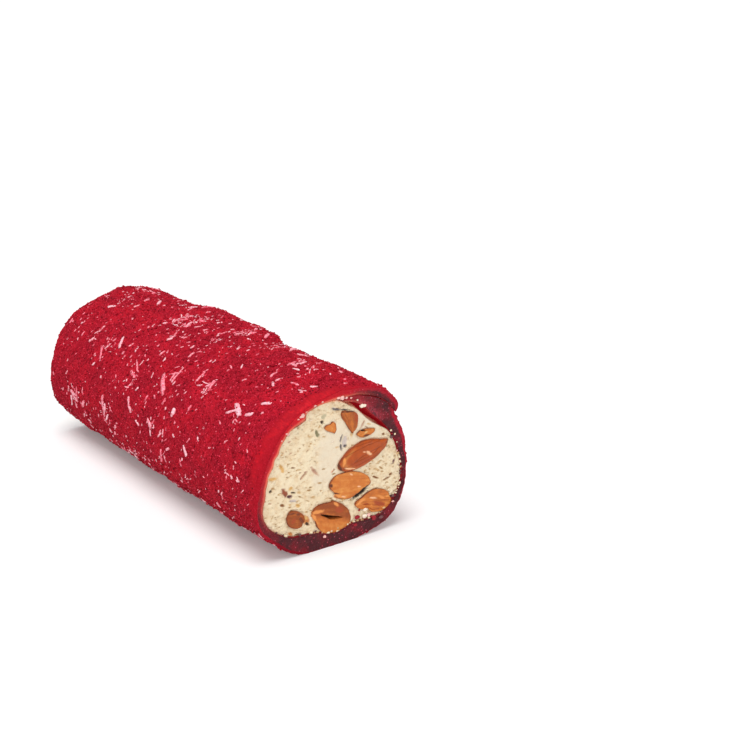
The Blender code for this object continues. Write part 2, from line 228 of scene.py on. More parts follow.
# Almonds: place and size of the outline in the cut, tilt of the long axis, how pointed the right tip is,
# depth into the nougat, how far a whole one stands out of the cut (0 is cut flush), in mm and degrees,
# how light it is, and how much its outline swells at even steps from the right tip
Almond = namedtuple("Almond", "kind across up length width tilt point depth dome tone rim")
PLAIN = (1,)
WHOLE_RIM = (0.96, 0.82, 0.92, 1.06, 0.98, 1.02, 1.19, 1.2, 1.17, 1.24, 1.24, 1.06)
PALE_RIM = (1.08, 1.13, 1.15, 1.11, 1.06, 1.11, 1.09, 0.93, 1.05, 1.12, 0.94, 0.94)
SLIT_RIM = (1.08, 1.03, 1.03, 1.05, 0.98, 1.05, 1.02, 0.87, 1, 1.17, 1.15, 1.15)
BROKEN_RIM = (1.1, 1.09, 1.24, 1.12, 0.9, 0.82, 1.03, 0.86, 0.54, 0.84, 1.04, 1.1)
SMALL_RIM = (0.76, 0.74, 0.77, 0.8, 0.92, 1.03, 0.98, 0.94, 0.93, 0.94, 0.97, 0.84)
WEDGE_RIM = (1.15, 1.18, 1.56, 1.3, 0.9, 0.76, 0.83, 1.17, 0.93, 0.78, 1, 1.12)
CHIP_RIM = (0.97, 1.08, 1.45, 1.4, 1.02, 0.64, 0.64, 0.94, 1.21, 1.02, 0.88, 0.85)
SLIVER_RIM = (1, 0.8, 0.7, 0.7, 0.75, 0.8, 0.94, 0.95, 1.15, 1.5, 1.5, 1.19)
NEAR_ALMONDS = (
    Almond("whole", 9, 21.7, 13.8, 5.6, 14, 0.35, 3.2, 0.7, 0.3, WHOLE_RIM),
    Almond("pale", 4.5, 14.1, 11, 6.2, -10, 0.2, 9, 0, 0.62, PALE_RIM),
    Almond("slit", -1.1, 7.35, 11, 7.2, -20, 0.05, 12, 0, 0.36, SLIT_RIM),
    Almond("broken", 11.2, 7.9, 10.2, 5.9, -10, 0.15, 8, 0, 0.52, BROKEN_RIM),
    Almond("small", -10.7, 9.2, 5.8, 4.7, -20, 0.1, 7, 0, 0, SMALL_RIM),
    Almond("wedge", 4.6, 30.3, 6, 4.4, -77, 0.75, 8, 0, 0.2, WEDGE_RIM),
    Almond("chip", -0.8, 29.6, 3.6, 2.5, -60, 0.6, 4, 0, 0.55, CHIP_RIM),
    Almond("sliver", 9, 26.6, 5.3, 1.9, 4, 0.3, 5, 0, 0.6, SLIVER_RIM),
)
FAR_ALMONDS = (
    Almond("whole", -7, 22, 15, 6.8, 38, 0.35, 3.2, 0.7, 0.3, PLAIN),
    Almond("slit", 7.2, 12, 11.2, 7.4, 18, 0.05, 12, 0, 0.36, SLIT_RIM),
    Almond("pale", -8.6, 10.6, 10.2, 6.2, -14, 0.2, 9, 0, 0.62, PALE_RIM),
    Almond("wedge", 5.6, 26.2, 6.8, 4.6, 55, 0.7, 8, 0, 0.28, PLAIN),
    Almond("small", 1.2, 19.4, 4.8, 3.9, 10, 0.1, 6, 0, 0.1, SMALL_RIM),
    Almond("broken", -0.6, 6.6, 6, 3, 4, 0.25, 6, 0, 0.72, PLAIN),
)
CENTRING = 0.1 * MM
ALMOND_PROUD = 0.15 * MM
SKIN_THICKNESS = 0.22 * MM
SLIT_LENGTH = 6.2 * MM
SLIT_WIDTH = 0.75 * MM
SLIT_DEPTH = 2.2 * MM

# Marks in the near cut and on its almonds: place, length, width, tilt, colour and depth, in mm and degrees
NEAR_MARKS = (
    (-4.4, 28.9, 2.3, 1.1, -68, "olive", 0.3),
    (-2.95, 31.5, 1.2, 0.8, -70, "dark", 0.3),
    (-2.6, 32.8, 1.8, 1.2, 20, "stone", 0.1),
    (0.9, 33.8, 3, 0.7, -14, "grey", 0.2),
    (3.3, 33.2, 3, 0.5, -16, "grey", 0.3),
    (3.2, 25.3, 3.8, 1.7, 80, "lilac", 0.2),
    # The next two grey marks are painted shade on the left edge of a recess
    (2.2, 26.3, 2.2, 0.7, 68, "grey", 0.5),
    (2.2, 24.2, 2.2, 0.7, 100, "grey", 0.5),
    (3.5, 24.1, 1.1, 0.9, 20, "grey", 0.3),
    (8.4, 28.4, 2.8, 0.6, 56, "rose", 0.2),
    (5.2, 26.9, 2.6, 0.9, 80, "tan", 0.1),
    (-13.7, 16.6, 2.8, 1.5, -62, "rust", 0),
    (-12.3, 15.3, 1.6, 1, -20, "plum", 0.3),
    (-11.2, 16, 1.5, 0.5, -18, "dark", 0.5),
    (-9.7, 15.7, 1.4, 0.8, -20, "tan", 0.1),
    (-11.3, 14, 2.4, 0.9, -16, "lilac", 0.1),
    (-10, 12.5, 1.7, 1.1, -35, "gold", 0),
    (-12.2, 13.2, 0.9, 0.7, 0, "tan", 0.1),
    (-14.3, 13.6, 1.5, 0.7, -28, "brown", 0.3),
    (-17.3, 17.8, 0.9, 0.8, 0, "dark", 0.3),
    (-16.8, 20.8, 2.6, 1, -6, "gold", 0),
    (-14.3, 22.8, 2.8, 1, -65, "gold", 0),
    (-12, 17.3, 1.2, 1, 10, "gold", 0),
    (-11.2, 22.2, 1.1, 0.5, -14, "brown", 0.3),
    (-8.3, 19.6, 3, 0.6, 42, "rose", 0.4),
    (-5.4, 20, 3.6, 0.9, -52, "rose", 0.3),
    (-12.3, 5.9, 1.5, 1.1, -50, "flesh", 0),
    (-10.4, 5.2, 1.3, 0.6, -10, "brown", 0.3),
    (-8, 8.4, 3.4, 2, -60, "flesh", 0),
    (-7.9, 8.9, 1.4, 0.8, -60, "gold", 0),
    (-7.5, 7.1, 1.5, 0.8, -30, "dark", 0.4),
    # A painted shadow in the crack under the pale almond
    (7.55, 11.15, 5.6, 1.3, 25, "painted_shadow", 0.2),
    (1.6, 11.6, 4, 1, -22, "flesh", 0),
    (3, 10.9, 2, 0.9, 0, "gold", 0),
    (12.4, 19.5, 2.6, 0.5, 28, "brown", 0.4),
    (12.2, 14.1, 2.6, 0.6, -28, "brown", 0.3),
    (12.6, 16, 2, 0.6, -25, "tan", 0.2),
    (13.3, 17.8, 1.9, 0.5, 25, "tan", 0.3),
    (15.6, 12.9, 2.8, 0.5, 8, "brown", 0.3),
    (16.9, 13.7, 1.1, 0.8, 0, "brown", 0.3),
    (14.6, 24.6, 1, 0.7, -20, "brown", 0.3),
    (15.5, 21.5, 0.7, 0.6, 0, "brown", 0.3),
    (17, 7.7, 1.2, 1.4, 0, "plum", 0.3),
    (17.7, 16.9, 1.5, 0.7, 70, "plum", 0.2),
)
# The light streaks among the almonds' marks are painted highlights
ALMOND_MARKS = {
    "whole": (
        (7.5, 19.3, 6.5, 1.6, 10, "cinnamon", 0),
        (9.6, 21.2, 2.6, 0.8, -38, "painted_highlight", 0),
        (8.3, 21.8, 1.1, 0.5, -15, "painted_highlight", 0),
        (4.4, 18.4, 3.4, 0.5, -14, "painted_highlight", 0),
        (2.7, 20.5, 2.4, 0.8, 75, "amber", 0),
        (1.5, 19.4, 3.4, 0.7, -62, "bark", 0),
    ),
    "pale": (
        (7.1, 13.1, 1.3, 0.4, -15, "painted_highlight", 0),
        (4.9, 16.7, 1.3, 0.45, -35, "painted_highlight", 0),
        (1, 12.2, 2.6, 0.9, -25, "amber", 0),
        (0.6, 12.9, 2.4, 0.4, -20, "bark", 0.1),
        (2.6, 11.6, 1.6, 0.5, -20, "painted_highlight", 0),
        (-1, 15.2, 1, 1, 0, "bark", 0),
        # A painted shadow along its lower edge
        (7.9, 11.7, 4.8, 0.8, 26, "painted_shadow", 0.1),
    ),
    "slit": (
        (0.5, 10.2, 1.9, 0.9, -45, "amber", 0),
        (-4.6, 9.6, 4, 1, -5, "amber", 0),
        (-5.8, 8.4, 2.4, 0.9, -60, "amber", 0),
        (1.4, 8.6, 3, 1.6, -30, "cinnamon", 0),
    ),
    "broken": (
        (13.3, 7, 4.2, 1.3, -25, "cinnamon", 0),
        (7.4, 8.9, 3, 1, 28, "amber", 0),
        (11.4, 9, 2.4, 0.6, -18, "painted_highlight", 0),
        (9.2, 7.9, 2.6, 0.5, -12, "cinnamon", 0.2),
        (13.8, 8.6, 2.6, 0.6, -32, "amber", 0),
    ),
    "wedge": (
        (4.6, 32.6, 4.4, 0.5, -6, "bark", 0),
        (6.5, 30.6, 3.4, 1.3, -75, "cinnamon", 0),
    ),
    "sliver": (
        # A painted shadow in a groove on its top
        (8.4, 27, 1.7, 0.4, -10, "painted_shadow", 0.2),
        # A painted highlight
        (9.2, 26.4, 1.4, 0.6, 10, "gold", 0),
        (9.2, 25.6, 2.2, 0.5, 0, "bark", 0),
    ),
    "small": (
        (-12, 11, 2.4, 0.6, -5, "skin", 0.1),
        (-9.3, 8.6, 2.8, 0.8, -62, "skin", 0.2),
        (-11.6, 9, 1.8, 1.1, 40, "cinnamon", 0),
        (-10.2, 10.4, 1.4, 0.7, -20, "skin", 0.1),
    ),
}
SCATTERED_MARKS = 560
SCATTERED_TINTS = ("tan", "tan", "crack", "crack", "crack", "rose", "white", "white")
MARK_REACH = 0.7 * MM
TINTS = {
    "tan": (212, 176, 128),
    "crack": (182, 144, 98),
    "gold": (218, 172, 108),
    "flesh": (204, 130, 74),
    "brown": (146, 98, 64),
    "rust": (150, 82, 60),
    "rose": (196, 154, 130),
    "lilac": (208, 192, 182),
    "stone": (192, 180, 148),
    "olive": (138, 130, 98),
    "cream": (230, 212, 178),
    "grey": (112, 104, 106),
    "plum": (112, 72, 74),
    "dark": (84, 66, 54),
    # Painted shadow in cracks and grooves
    "painted_shadow": (44, 28, 20),
    "crimson": (152, 22, 38),
    "white": (242, 226, 206),
    "pink": (236, 184, 176),
    # Painted highlight
    "painted_highlight": (238, 184, 140),
    "amber": (228, 146, 78),
    "cinnamon": (164, 72, 36),
    "bark": (98, 50, 32),
    "skin": (128, 66, 40),
}

# Crumbs on the near cut: place and size in mm, and colour
NEAR_CRUMBS = (
    (8, 33.4, 1.6, "white"),
    (8.9, 6.6, 1.2, "white"),
    (8.7, 5, 1.5, "white"),
    (10, 4.9, 1, "pink"),
    (7.2, 6.9, 0.7, "crimson"),
    (6.6, 5.2, 1.5, "crimson"),
    (5.7, 3.6, 1.1, "crimson"),
    (11.2, 4, 1.3, "crimson"),
    (13.4, 3.6, 1.2, "plum"),
    (-3.2, 3, 0.8, "pink"),
    (17.3, 8, 0.9, "plum"),
    (17, 6.8, 0.7, "pink"),
    (16.3, 25.4, 0.6, "cream"),
    (17.5, 24.2, 0.6, "cream"),
    (18.1, 22, 0.4, "cream"),
    (18.5, 19.6, 0.4, "pink"),
    (16.6, 24.5, 0.5, "crimson"),
    (1.2, 36.7, 1, "pink"),
    (2.2, 36.5, 1, "pink"),
    (3.4, 36.3, 0.7, "pink"),
    (4.7, 36, 0.6, "pink"),
    (6.5, 35.1, 0.5, "white"),
    (-8.7, 34.4, 1.5, "pink"),
    (-12.8, 30.9, 1.1, "pink"),
    (-6.6, 35.3, 0.6, "pink"),
)
SCATTERED_CRUMBS = 64


def ease(share):
    """Ease from 0 to 1."""
    share = min(max(share, 0), 1)
    return share * share * (3 - 2 * share)


def plateau(value, start, low, high, stop):
    """Ease from 0 at `start` to 1 at `low`, and from 1 at `high` back to 0 at `stop`."""
    return ease((value - start) / (low - start)) * ease((stop - value) / (stop - high))


def rotated(along, aside, turn):
    """A pair of lengths turned by an angle in radians."""
    cosine, sine = cos(turn), sin(turn)
    return along * cosine - aside * sine, along * sine + aside * cosine


def round_off(distance, run):
    """Quarter-round profile: 0 at an edge, 1 from `run` inward."""
    inward = min(max(1 - distance / run, 0), 1)
    return math.sqrt(1 - inward * inward)


def outline(radii, angle):
    """Radius at an angle on the smooth closed curve through evenly spaced radii given in mm."""
    place = (angle % 360) / 360 * len(radii)
    index = int(place)
    t = place - index
    a, b, c, d = (radii[(index + step) % len(radii)] for step in (-1, 0, 1, 2))
    cubic = 2 * b + (c - a) * t + (2 * a - 5 * b + 4 * c - d) * t**2 + (3 * b - 3 * c + d - a) * t**3
    return cubic / 2 * MM


def body_share(x):
    """How far the section at x has grown from the near cut's outline (0) to the body's (1)."""
    near = max(1 - (END - x) / NEAR_PINCH_RUN, 0)
    far = max(1 - (END + x) / FAR_PINCH_RUN, 0)
    return 1 - near**2 - FAR_PINCH * far**2


def inside_box(point):
    """The nearest place within the solids' box, which the roll never leaves."""
    return Vector(min(max(at, low), high) for at, low, high in zip(point, CAD_LOW, CAD_HIGH))


def in_section(angle, radius):
    """Y and Z of a polar place in the section."""
    turn = radians(angle)
    return AXIS_ACROSS + radius * cos(turn), AXIS_HEIGHT + radius * sin(turn)


def in_polar(x, angle, radius):
    """The point at a polar place of the near cut's section, grown to the section at x."""
    return inside_box((x, *in_section(angle, radius + outline(BODY_GROWTH, angle) * body_share(x))))


def sheet_radii(turned):
    """Inner and outer radius of the sheet, `turned` degrees on from its tucked-in end."""
    angle = TUCK_ANGLE - turned
    bed = outline(NOUGAT_RADII, angle) + FIT_GAP
    free = outline(SHEET_RADII, angle)
    if turned < TUCK_HOLLOW_RUN:
        bed += TUCK_HOLLOW * sin(math.pi * turned / TUCK_HOLLOW_RUN)
        full = ease(turned / TUCK_RUN)
        thickness = TUCK_THICKNESS + (free - bed - TUCK_THICKNESS) * full
        return bed, bed + thickness
    lift = ease((turned - 360) / FLAP_LIFT_RUN + 1)
    if lift == 0:
        return bed, free
    under = sheet_radii(max(turned - 360, 0))[1] + SEAM_GAP
    inner = bed + (under - bed) * lift
    outer = free + (under + FLAP_THICKNESS - free) * lift
    return inner, outer


def flap_angle(x):
    """Where round the section the flap ends at x: low at the near cut and higher along the body."""
    rise = ease((END - x) / FLAP_RISE_RUN)
    waver = FLAP_WAVER * sin(2 * math.pi * x / FLAP_WAVE)
    return NEAR_FLAP_ANGLE + (BODY_FLAP_ANGLE - NEAR_FLAP_ANGLE + waver) * rise


def sheet_sweep(x):
    """Degrees that the sheet turns at x, from its tucked-in end to the flap's edge."""
    return TUCK_ANGLE + 360 - flap_angle(x)


def drag(x, angle):
    """How much the knife dragged the sheet over the nearer cut at this angle."""
    drag_angle = NEAR_DRAG_ANGLE if x > 0 else FAR_DRAG_ANGLE
    return max(cos(radians(angle - drag_angle)), 0) ** 2


def shoulder(x, angle):
    """Share of the sheet's thickness that its rounded edge leaves near a cut."""
    rounding = round_off(END - abs(x), SHOULDER_RUN + DRAG_RUN * drag(x, angle))
    return 1 - (SHOULDER_LOSS + DRAG_LOSS * drag(x, angle)) * (1 - rounding)


def smear(x, angle):
    """How smooth the knife left the coat: 1 at the dragged edge, 0 on the powder."""
    smear_angle = NEAR_SMEAR_ANGLE if x > 0 else FAR_DRAG_ANGLE
    off = abs((angle - smear_angle + 180) % 360 - 180)
    run = SMEAR_RUN + SMEAR_GROWTH * ease(1.4 - off / SMEAR_GROWTH_SPREAD)
    along = 1 - (END - abs(x)) / run
    return ease(1.5 * along) * ease(1.5 * (1 - off / SMEAR_SPREAD))


def lip(x, angle):
    """How far the sheet's inner edge is drawn over the nougat, right at a cut."""
    wave = noise.noise(in_polar(x, angle, NOUGAT_RADII[0] * MM) / LIP_WAVE)
    ragged = LIP * (0.1 + 1.4 * drag(x, angle)) * (1 + wave)
    return ragged + (TONGUE * plateau(angle, *TONGUE_ANGLES) if x > 0 else 0)


def fold(x, turned):
    """Height that the fold adds to the flap."""
    off_crest = abs(TUCK_ANGLE + 360 - turned - FOLD_ANGLE) / FOLD_SPREAD
    return FOLD_HEIGHT * plateau(x, *FOLD_ENDS) * ease(1 - off_crest)


def powder_relief(point):
    """Height of the powder's bumps."""
    return sum(height * noise.noise(point / size) for height, size in POWDER_RELIEF)


def outer_radius(x, turned):
    """Radius of the sheet's coated face, with its rounded edges, fold, lumps and powder."""
    angle = TUCK_ANGLE - turned
    inner, outer = sheet_radii(turned)
    to_flap_edge = sheet_sweep(x) - turned
    bare = ease((360 - to_flap_edge) / LUMP_RUN)
    edge = (1 - (1 - shoulder(x, angle)) * bare) * round_off(to_flap_edge, FLAP_NOSE)
    point = in_polar(x, angle, outer)
    lump = LUMP_HEIGHT * noise.noise(point / LUMP_SIZE) * bare
    powder = powder_relief(point) * (1 - SMEARED_AWAY * smear(x, angle))
    return inner + max((outer - inner + fold(x, turned) + lump) * edge + powder, EDGE_THICKNESS)


def skin_point(x, angle, height):
    """The point `height` above the face that shows at this angle, which is the flap's where it reaches."""
    turned = (TUCK_ANGLE - angle) % 360
    if turned + 360 < sheet_sweep(x):
        turned += 360
    return in_polar(x, angle, outer_radius(x, turned) + height)


def screen(red, green, blue):
    """Linear colour from the 0 to 255 values that a screen shows."""
    shares = (channel / 255 for channel in (red, green, blue))
    return tuple(((share + 0.055) / 1.055) ** 2.4 for share in shares)


def colour(name, description, *shown):
    """A colour that a user can change, given as a screen shows it."""
    return FloatVectorProperty(
        name=name, description=description, default=screen(*shown), subtype="COLOR", min=0, max=1
    )


def amount(things, default):
    """A number of things that a user can change."""
    return IntProperty(name=things, description="Number of " + things.lower(), default=default, min=0)


def measure(name, description, default, unit="NONE"):
    """A measure that a user can change."""
    return FloatProperty(name=name, description=description, default=default, min=0, unit=unit)


class CoatSettings(bpy.types.PropertyGroup):
    """Colours and amounts of the sheet's coat."""

    red: colour("Powder", "Main colour of the powder", 174, 22, 43)
    deep: colour("Deep powder", "Colour between the grains", 128, 10, 25)
    bright: colour("Bright powder", "Colour of the grains that catch the light", 230, 58, 82)
    dark: colour("Dark grains", "Colour of the few darkest grains", 84, 16, 28)
    smear: colour("Smear", "Colour where the knife drew the sheet over the cut", 198, 22, 36)
    thin: colour("Thin edge", "Colour where the nougat shows through the sheet", 240, 132, 104)
    cut: colour("Cut", "Colour of the sheet's cut face", 78, 22, 30)
    # This colour is also painted on the sheet's underside as shade
    cut_light_and_underside_shade: colour("Light cut", "Colour of the cut face's thin parts", 124, 18, 32)
    # A painted glow: the sheet's hidden inner faces emit this colour where its inside shows
    painted_cut_glow: colour("Cut glow", "Light that comes through inside the sheet", 116, 8, 16)
    between: colour("Between turns", "Colour of the powder caught between two turns", 178, 58, 74)
    shred: colour("Shreds", "Colour of clean coconut shreds", 255, 214, 222)
    dusted: colour("Dusted shreds", "Colour of shreds under powder", 254, 102, 128)
    grains: amount("Coarse powder grains", 24000)
    dust: amount("Fine powder grains", 44000)
    clumps: amount("Powder clumps", 1800)
    long_shreds: amount("Long shreds", 110)
    short_shreds: amount("Short shreds", 640)
    fine_shreds: amount("Fine shreds", 1300)


class FillingSettings(bpy.types.PropertyGroup):
    """Colours of the nougat and its almonds."""

    cream: colour("Nougat", "Colour of the porous nougat", 237, 220, 188)
    smooth: colour("Smooth nougat", "Colour where the knife smoothed it", 228, 213, 188)
    pit: colour("Pits", "Colour in the nougat's pits", 212, 172, 122)
    stain: colour("Stained rim", "Colour of the rim that the sheet stained", 236, 138, 96)
    skin: colour("Almond skin", "Colour of a whole almond's skin", 179, 80, 30)
    skin_dark: colour("Dark skin", "Colour in the skin's wrinkles", 126, 58, 32)
    # The slit's near-black colour is painted shade in the gap between the halves
    slit: colour("Slit", "Colour in the slit between an almond's halves", 40, 18, 10)
    flesh_dark: colour("Dark flesh", "Colour of the darkest cut almonds", 148, 72, 32)
    flesh: colour("Almond flesh", "Colour of a cut almond", 202, 114, 48)
    flesh_light: colour("Light flesh", "Colour of the lightest cut almonds", 232, 164, 88)
    pit_depth: measure("Pit depth", "Depth of the nougat's pits", 0.4 * MM, "LENGTH")


class StageSettings(bpy.types.PropertyGroup):
    """Camera and lights."""

    azimuth: measure("Azimuth", "Camera's turn about Z", radians(53.436), "ROTATION")
    elevation: measure("Elevation", "Camera's height angle", radians(18.422), "ROTATION")
    distance: measure("Distance", "From the aim to the camera", 330 * MM, "LENGTH")
    aim: FloatVectorProperty(
        name="Aim",
        description="The place that the camera looks at",
        default=(43.6 * MM, 20.2 * MM, 35.4 * MM),
        subtype="XYZ",
        unit="LENGTH",
    )
    lens: measure("Lens", "Focal length in mm", 64.8)
    key: measure("Key light", "Strength of the light from above", 2.25)
    fill_power: measure("Fill light", "Power in watts", 1.35, "POWER")
    glint_power: measure("Glint light", "Power in watts", 0.2, "POWER")
    sky: measure("Sky", "Strength of the light from all round", 0.5)
    glow: measure("Floor glow", "Strength of the light through the floor", 0.14)


class Signal:
    """A shader socket that plain arithmetic works on: each operator adds its Math node."""

    def __init__(self, tree, socket=None):
        self.tree = tree
        self.socket = socket

    def node(self, kind, settings=None, *values, output=0, **inputs):
        """Add a node: first its settings, then the values or links of its sockets, by place or by name."""
        made = self.tree.nodes.new("ShaderNode" + kind)
        for name, value in (settings or {}).items():
            setattr(made, name, value)
        for socket, value in zip(made.inputs, values):
            self.feed(socket, value)
        for name, value in inputs.items():
            wanted = name.replace("_", " ")
            socket = next(entry for entry in made.inputs if entry.name == wanted and entry.enabled)
            self.feed(socket, value)
        return Signal(self.tree, made.outputs[output])

    def feed(self, socket, value):
        """Link or set one input socket."""
        if isinstance(value, Signal):
            self.tree.links.new(value.socket, socket)
        elif socket.type == "RGBA":
            socket.default_value = (*value, 1)
        else:
            socket.default_value = value

    def math(self, operation, first, second):
        """A Math node of two values."""
        return self.node("Math", {"operation": operation}, first, second)

    def __add__(self, other):
        return self.math("ADD", self, other)

    def __sub__(self, other):
        return self.math("SUBTRACT", self, other)

    def __rsub__(self, other):
        return self.math("SUBTRACT", other, self)

    def __mul__(self, other):
        return self.math("MULTIPLY", self, other)

    __radd__ = __add__
    __rmul__ = __mul__

    def place(self):
        """Object coordinates, in metres."""
        return self.node("TexCoord", output=3)

    def stored(self, name, output=2):
        """A value stored on the mesh: its number by default, its colour at 0 or its alpha at 3."""
        return self.node("Attribute", {"attribute_name": name}, output=output)

    def grain(self, size, detail=2, roughness=0.5):
        """Noise of a size along these coordinates."""
        return self.node("TexNoise", Vector=self, Scale=1 / size, Detail=detail, Roughness=roughness)

    def cells(self, size):
        """Distance to the nearest of scattered points."""
        return self.node("TexVoronoi", Vector=self, Scale=1 / size, Randomness=1)

    def step(self, low, high):
        """A smooth step from 0 at `low` to 1 at `high`."""
        return self.node(
            "MapRange", {"interpolation_type": "SMOOTHSTEP"}, Value=self, From_Min=low, From_Max=high
        )

    def mix(self, first, second):
        """A colour between two, with this value as the share of the second."""
        return self.node("Mix", {"data_type": "RGBA"}, output=2, Factor=self, A=first, B=second)

    def marked(self, colour):
        """A colour under the marks that are painted on the mesh."""
        return self.stored("tint", 3).mix(colour, self.stored("tint", 0))

    def bump(self, height, strength):
        """A normal from a height in metres, where this signal is that height's pattern from 0 to 1."""
        return self.node("Bump", Height=self, Distance=height, Strength=strength)


def new_finish(name):
    """A Principled material and a signal to build on."""
    finish = bpy.data.materials.new(name)
    finish.use_nodes = True
    return finish, Signal(finish.node_tree)


def dress(finish, **sockets):
    """Set or link the sockets of a material's shader."""
    shader = finish.node_tree.nodes["Principled BSDF"]
    for name, value in sockets.items():
        Signal(finish.node_tree).feed(shader.inputs[name.replace("_", " ")], value)
    return finish


def powder_finish(coat):
    """Red powder that turns smooth and bright where the knife smeared it, with painted shade at the smear's
    edge.
    """
    finish, signal = new_finish("powder")
    place = signal.place()
    patches = place.grain(7 * MM, 3).step(0.35, 0.68)
    clumps = place.grain(1.5 * MM, 3, 0.6).step(0.38, 0.64)
    grains = place.grain(0.33 * MM, 2, 0.65)
    stretched = signal.node("Mapping", Vector=place, Scale=(0.3, 1, 1))
    streaks = stretched.grain(0.8 * MM, 3, 0.6).step(0.4, 0.62)
    smeared = signal.stored("smear") * (0.45 + clumps * 0.25 + streaks * 0.3)
    # The grain noise paints the powder deep between its bumps and bright on them: partly its own grainy
    # colour, partly painted shade and highlights
    tone = grains.step(0.34, 0.5).mix(coat.deep, coat.red)
    lit = (grains.step(0.52, 0.7) * 0.8).mix(tone, coat.bright)
    shaded = (clumps * 0.3 + patches * 0.25).mix(lit, coat.deep)
    fresh = ((1 - patches) * 0.5 * (1 - clumps * 0.7)).mix(shaded, coat.smear)
    # Painted shade: a dark band along the smear's edge
    edge_shaded = (smeared * (1 - smeared) * 1.4).mix(smeared.mix(fresh, coat.smear), coat.deep)
    return dress(
        finish,
        # Painted shade: the sheet's underside turns to the darker cut colour
        Base_Color=signal.stored("damp").mix(edge_shaded, coat.cut_light_and_underside_shade),
        Roughness=0.85 - smeared * 0.4,
        Specular_IOR_Level=0.06,
        Normal=(grains * (1 - smeared * 0.85)).bump(0.3 * MM, 0.8),
    )


def cut_finish(coat):
    """The sheet's cut face: dark, moist lokum with a crust of powder and some of it between the turns; its
    inner faces glow red as painted light.
    """
    finish, signal = new_finish("cut_lokum")
    place = signal.place()
    grains = place.grain(0.5 * MM, 3, 0.6)
    patches = place.grain(3.5 * MM, 2).step(0.4, 0.7)
    specks = place.cells(0.8 * MM).step(0.2, 0.12)
    smeared = signal.stored("smear")
    between = signal.stored("between") * (0.15 + grains.step(0.42, 0.6) * 0.7)
    turned = between.mix(patches.mix(coat.cut, coat.cut_light_and_underside_shade), coat.between)
    crust = signal.stored("crust").step(0.2, 0.8) * (0.65 + grains)
    crusted = smeared.mix(crust.mix(turned, coat.red), coat.smear)
    thinned = (signal.stored("thin") * smeared).mix(crusted, coat.thin)
    return dress(
        finish,
        Base_Color=(specks * (0.55 - smeared * 0.45)).mix(thinned, coat.dusted),
        Roughness=0.3 + grains.step(0.4, 0.65) * 0.25 + crust * 0.3,
        Specular_IOR_Level=0.2,
        # Painted light: the inner faces glow red
        Emission_Color=(signal.stored("glow") * (0.4 + grains)).mix((0, 0, 0), coat.painted_cut_glow),
        Emission_Strength=1,
        Normal=(grains * (1 - smeared * 0.8)).bump(0.5 * MM, 1),
    )


def shred_finish(coat):
    """Coconut shreds, each dusted by its own share of red powder."""
    finish, signal = new_finish("coconut")
    dust = signal.stored("dust")
    specks = signal.place().grain(0.45 * MM, 3, 0.6).step(0.42, 0.62)
    clean = (dust * 0.8 + specks * 0.4).mix(coat.shred, coat.dusted)
    return dress(
        finish,
        Base_Color=(specks * dust * 0.5).mix(clean, coat.red),
        Roughness=0.6,
        Specular_IOR_Level=0.3,
        Normal=specks.bump(0.1 * MM, 0.4),
    )


def grain_finish(coat):
    """Loose powder grains, each of its own red."""
    finish, signal = new_finish("powder_grain")
    tone = signal.stored("tone")
    deep = tone.step(0.1, 0.5).mix(tone.step(0, 0.06).mix(coat.dark, coat.deep), coat.red)
    coloured = tone.step(0.6, 1).mix(deep, coat.bright)
    return dress(finish, Base_Color=coloured, Roughness=0.8, Specular_IOR_Level=0.1)


def nougat_finish(filling):
    """Cream nougat: tan in its pits, paler and smoother where the knife pressed it, with coloured marks."""
    finish, signal = new_finish("nougat_cream")
    place = signal.place()
    smooth = signal.stored("smooth")
    rough = 1 - smooth * 0.65
    crumbs = place.cells(1.5 * MM).step(0.3, 0.75) * place.grain(4 * MM, 2).step(0.38, 0.6)
    drawn = signal.node("Mapping", Vector=place, Rotation=(radians(-14), 0, 0), Scale=(1, 0.4, 1))
    mottle = place.grain(1.8 * MM, 4, 0.65).step(0.4, 0.7)
    dashes = drawn.grain(0.5 * MM, 2, 0.6).step(0.58, 0.7) * rough
    fine = place.grain(0.4 * MM, 3, 0.6)
    base = smooth.mix(filling.cream, filling.smooth)
    # The crumb cells' edges darken towards the pit colour: painted shade between the nougat's crumbs
    mottled = ((mottle * 0.3 + crumbs * 0.22) * rough).mix(base, filling.pit)
    pitted = signal.stored("pit").mix((dashes * 0.55).mix(mottled, filling.pit), filling.pit)
    stained = (signal.stored("stain") * (0.4 + mottle * 0.6)).mix(pitted, filling.stain)
    return dress(
        finish,
        Base_Color=signal.marked(stained),
        Roughness=0.75 - smooth * 0.3,
        Specular_IOR_Level=0.2,
        Normal=(fine * rough - dashes * 0.5 - crumbs * 0.6).bump(0.25 * MM, 0.75),
    )


def skin_finish(filling):
    """A whole almond's satin skin: darker in its long wrinkles, partly its own colour and partly painted
    shade, darker at its rim as painted shade, and with a painted highlight.
    """
    finish, signal = new_finish("almond_skin_satin")
    place = signal.place()
    mottle = place.grain(1.4 * MM, 3).step(0.35, 0.7)
    base = (mottle * 0.35).mix(filling.skin, filling.skin_dark)
    # On a whole almond the tone is its painted highlight
    lit = (signal.stored("tone") * 0.8).mix(base, filling.flesh_light)
    return dress(
        finish,
        Base_Color=signal.marked(signal.stored("groove").mix(lit, filling.skin_dark)),
        Roughness=0.34 + mottle * 0.16,
        Specular_IOR_Level=0.12,
        Coat_Weight=0.15,
        Coat_Roughness=0.2,
        Normal=place.grain(0.5 * MM, 3).bump(0.12 * MM, 0.3),
    )


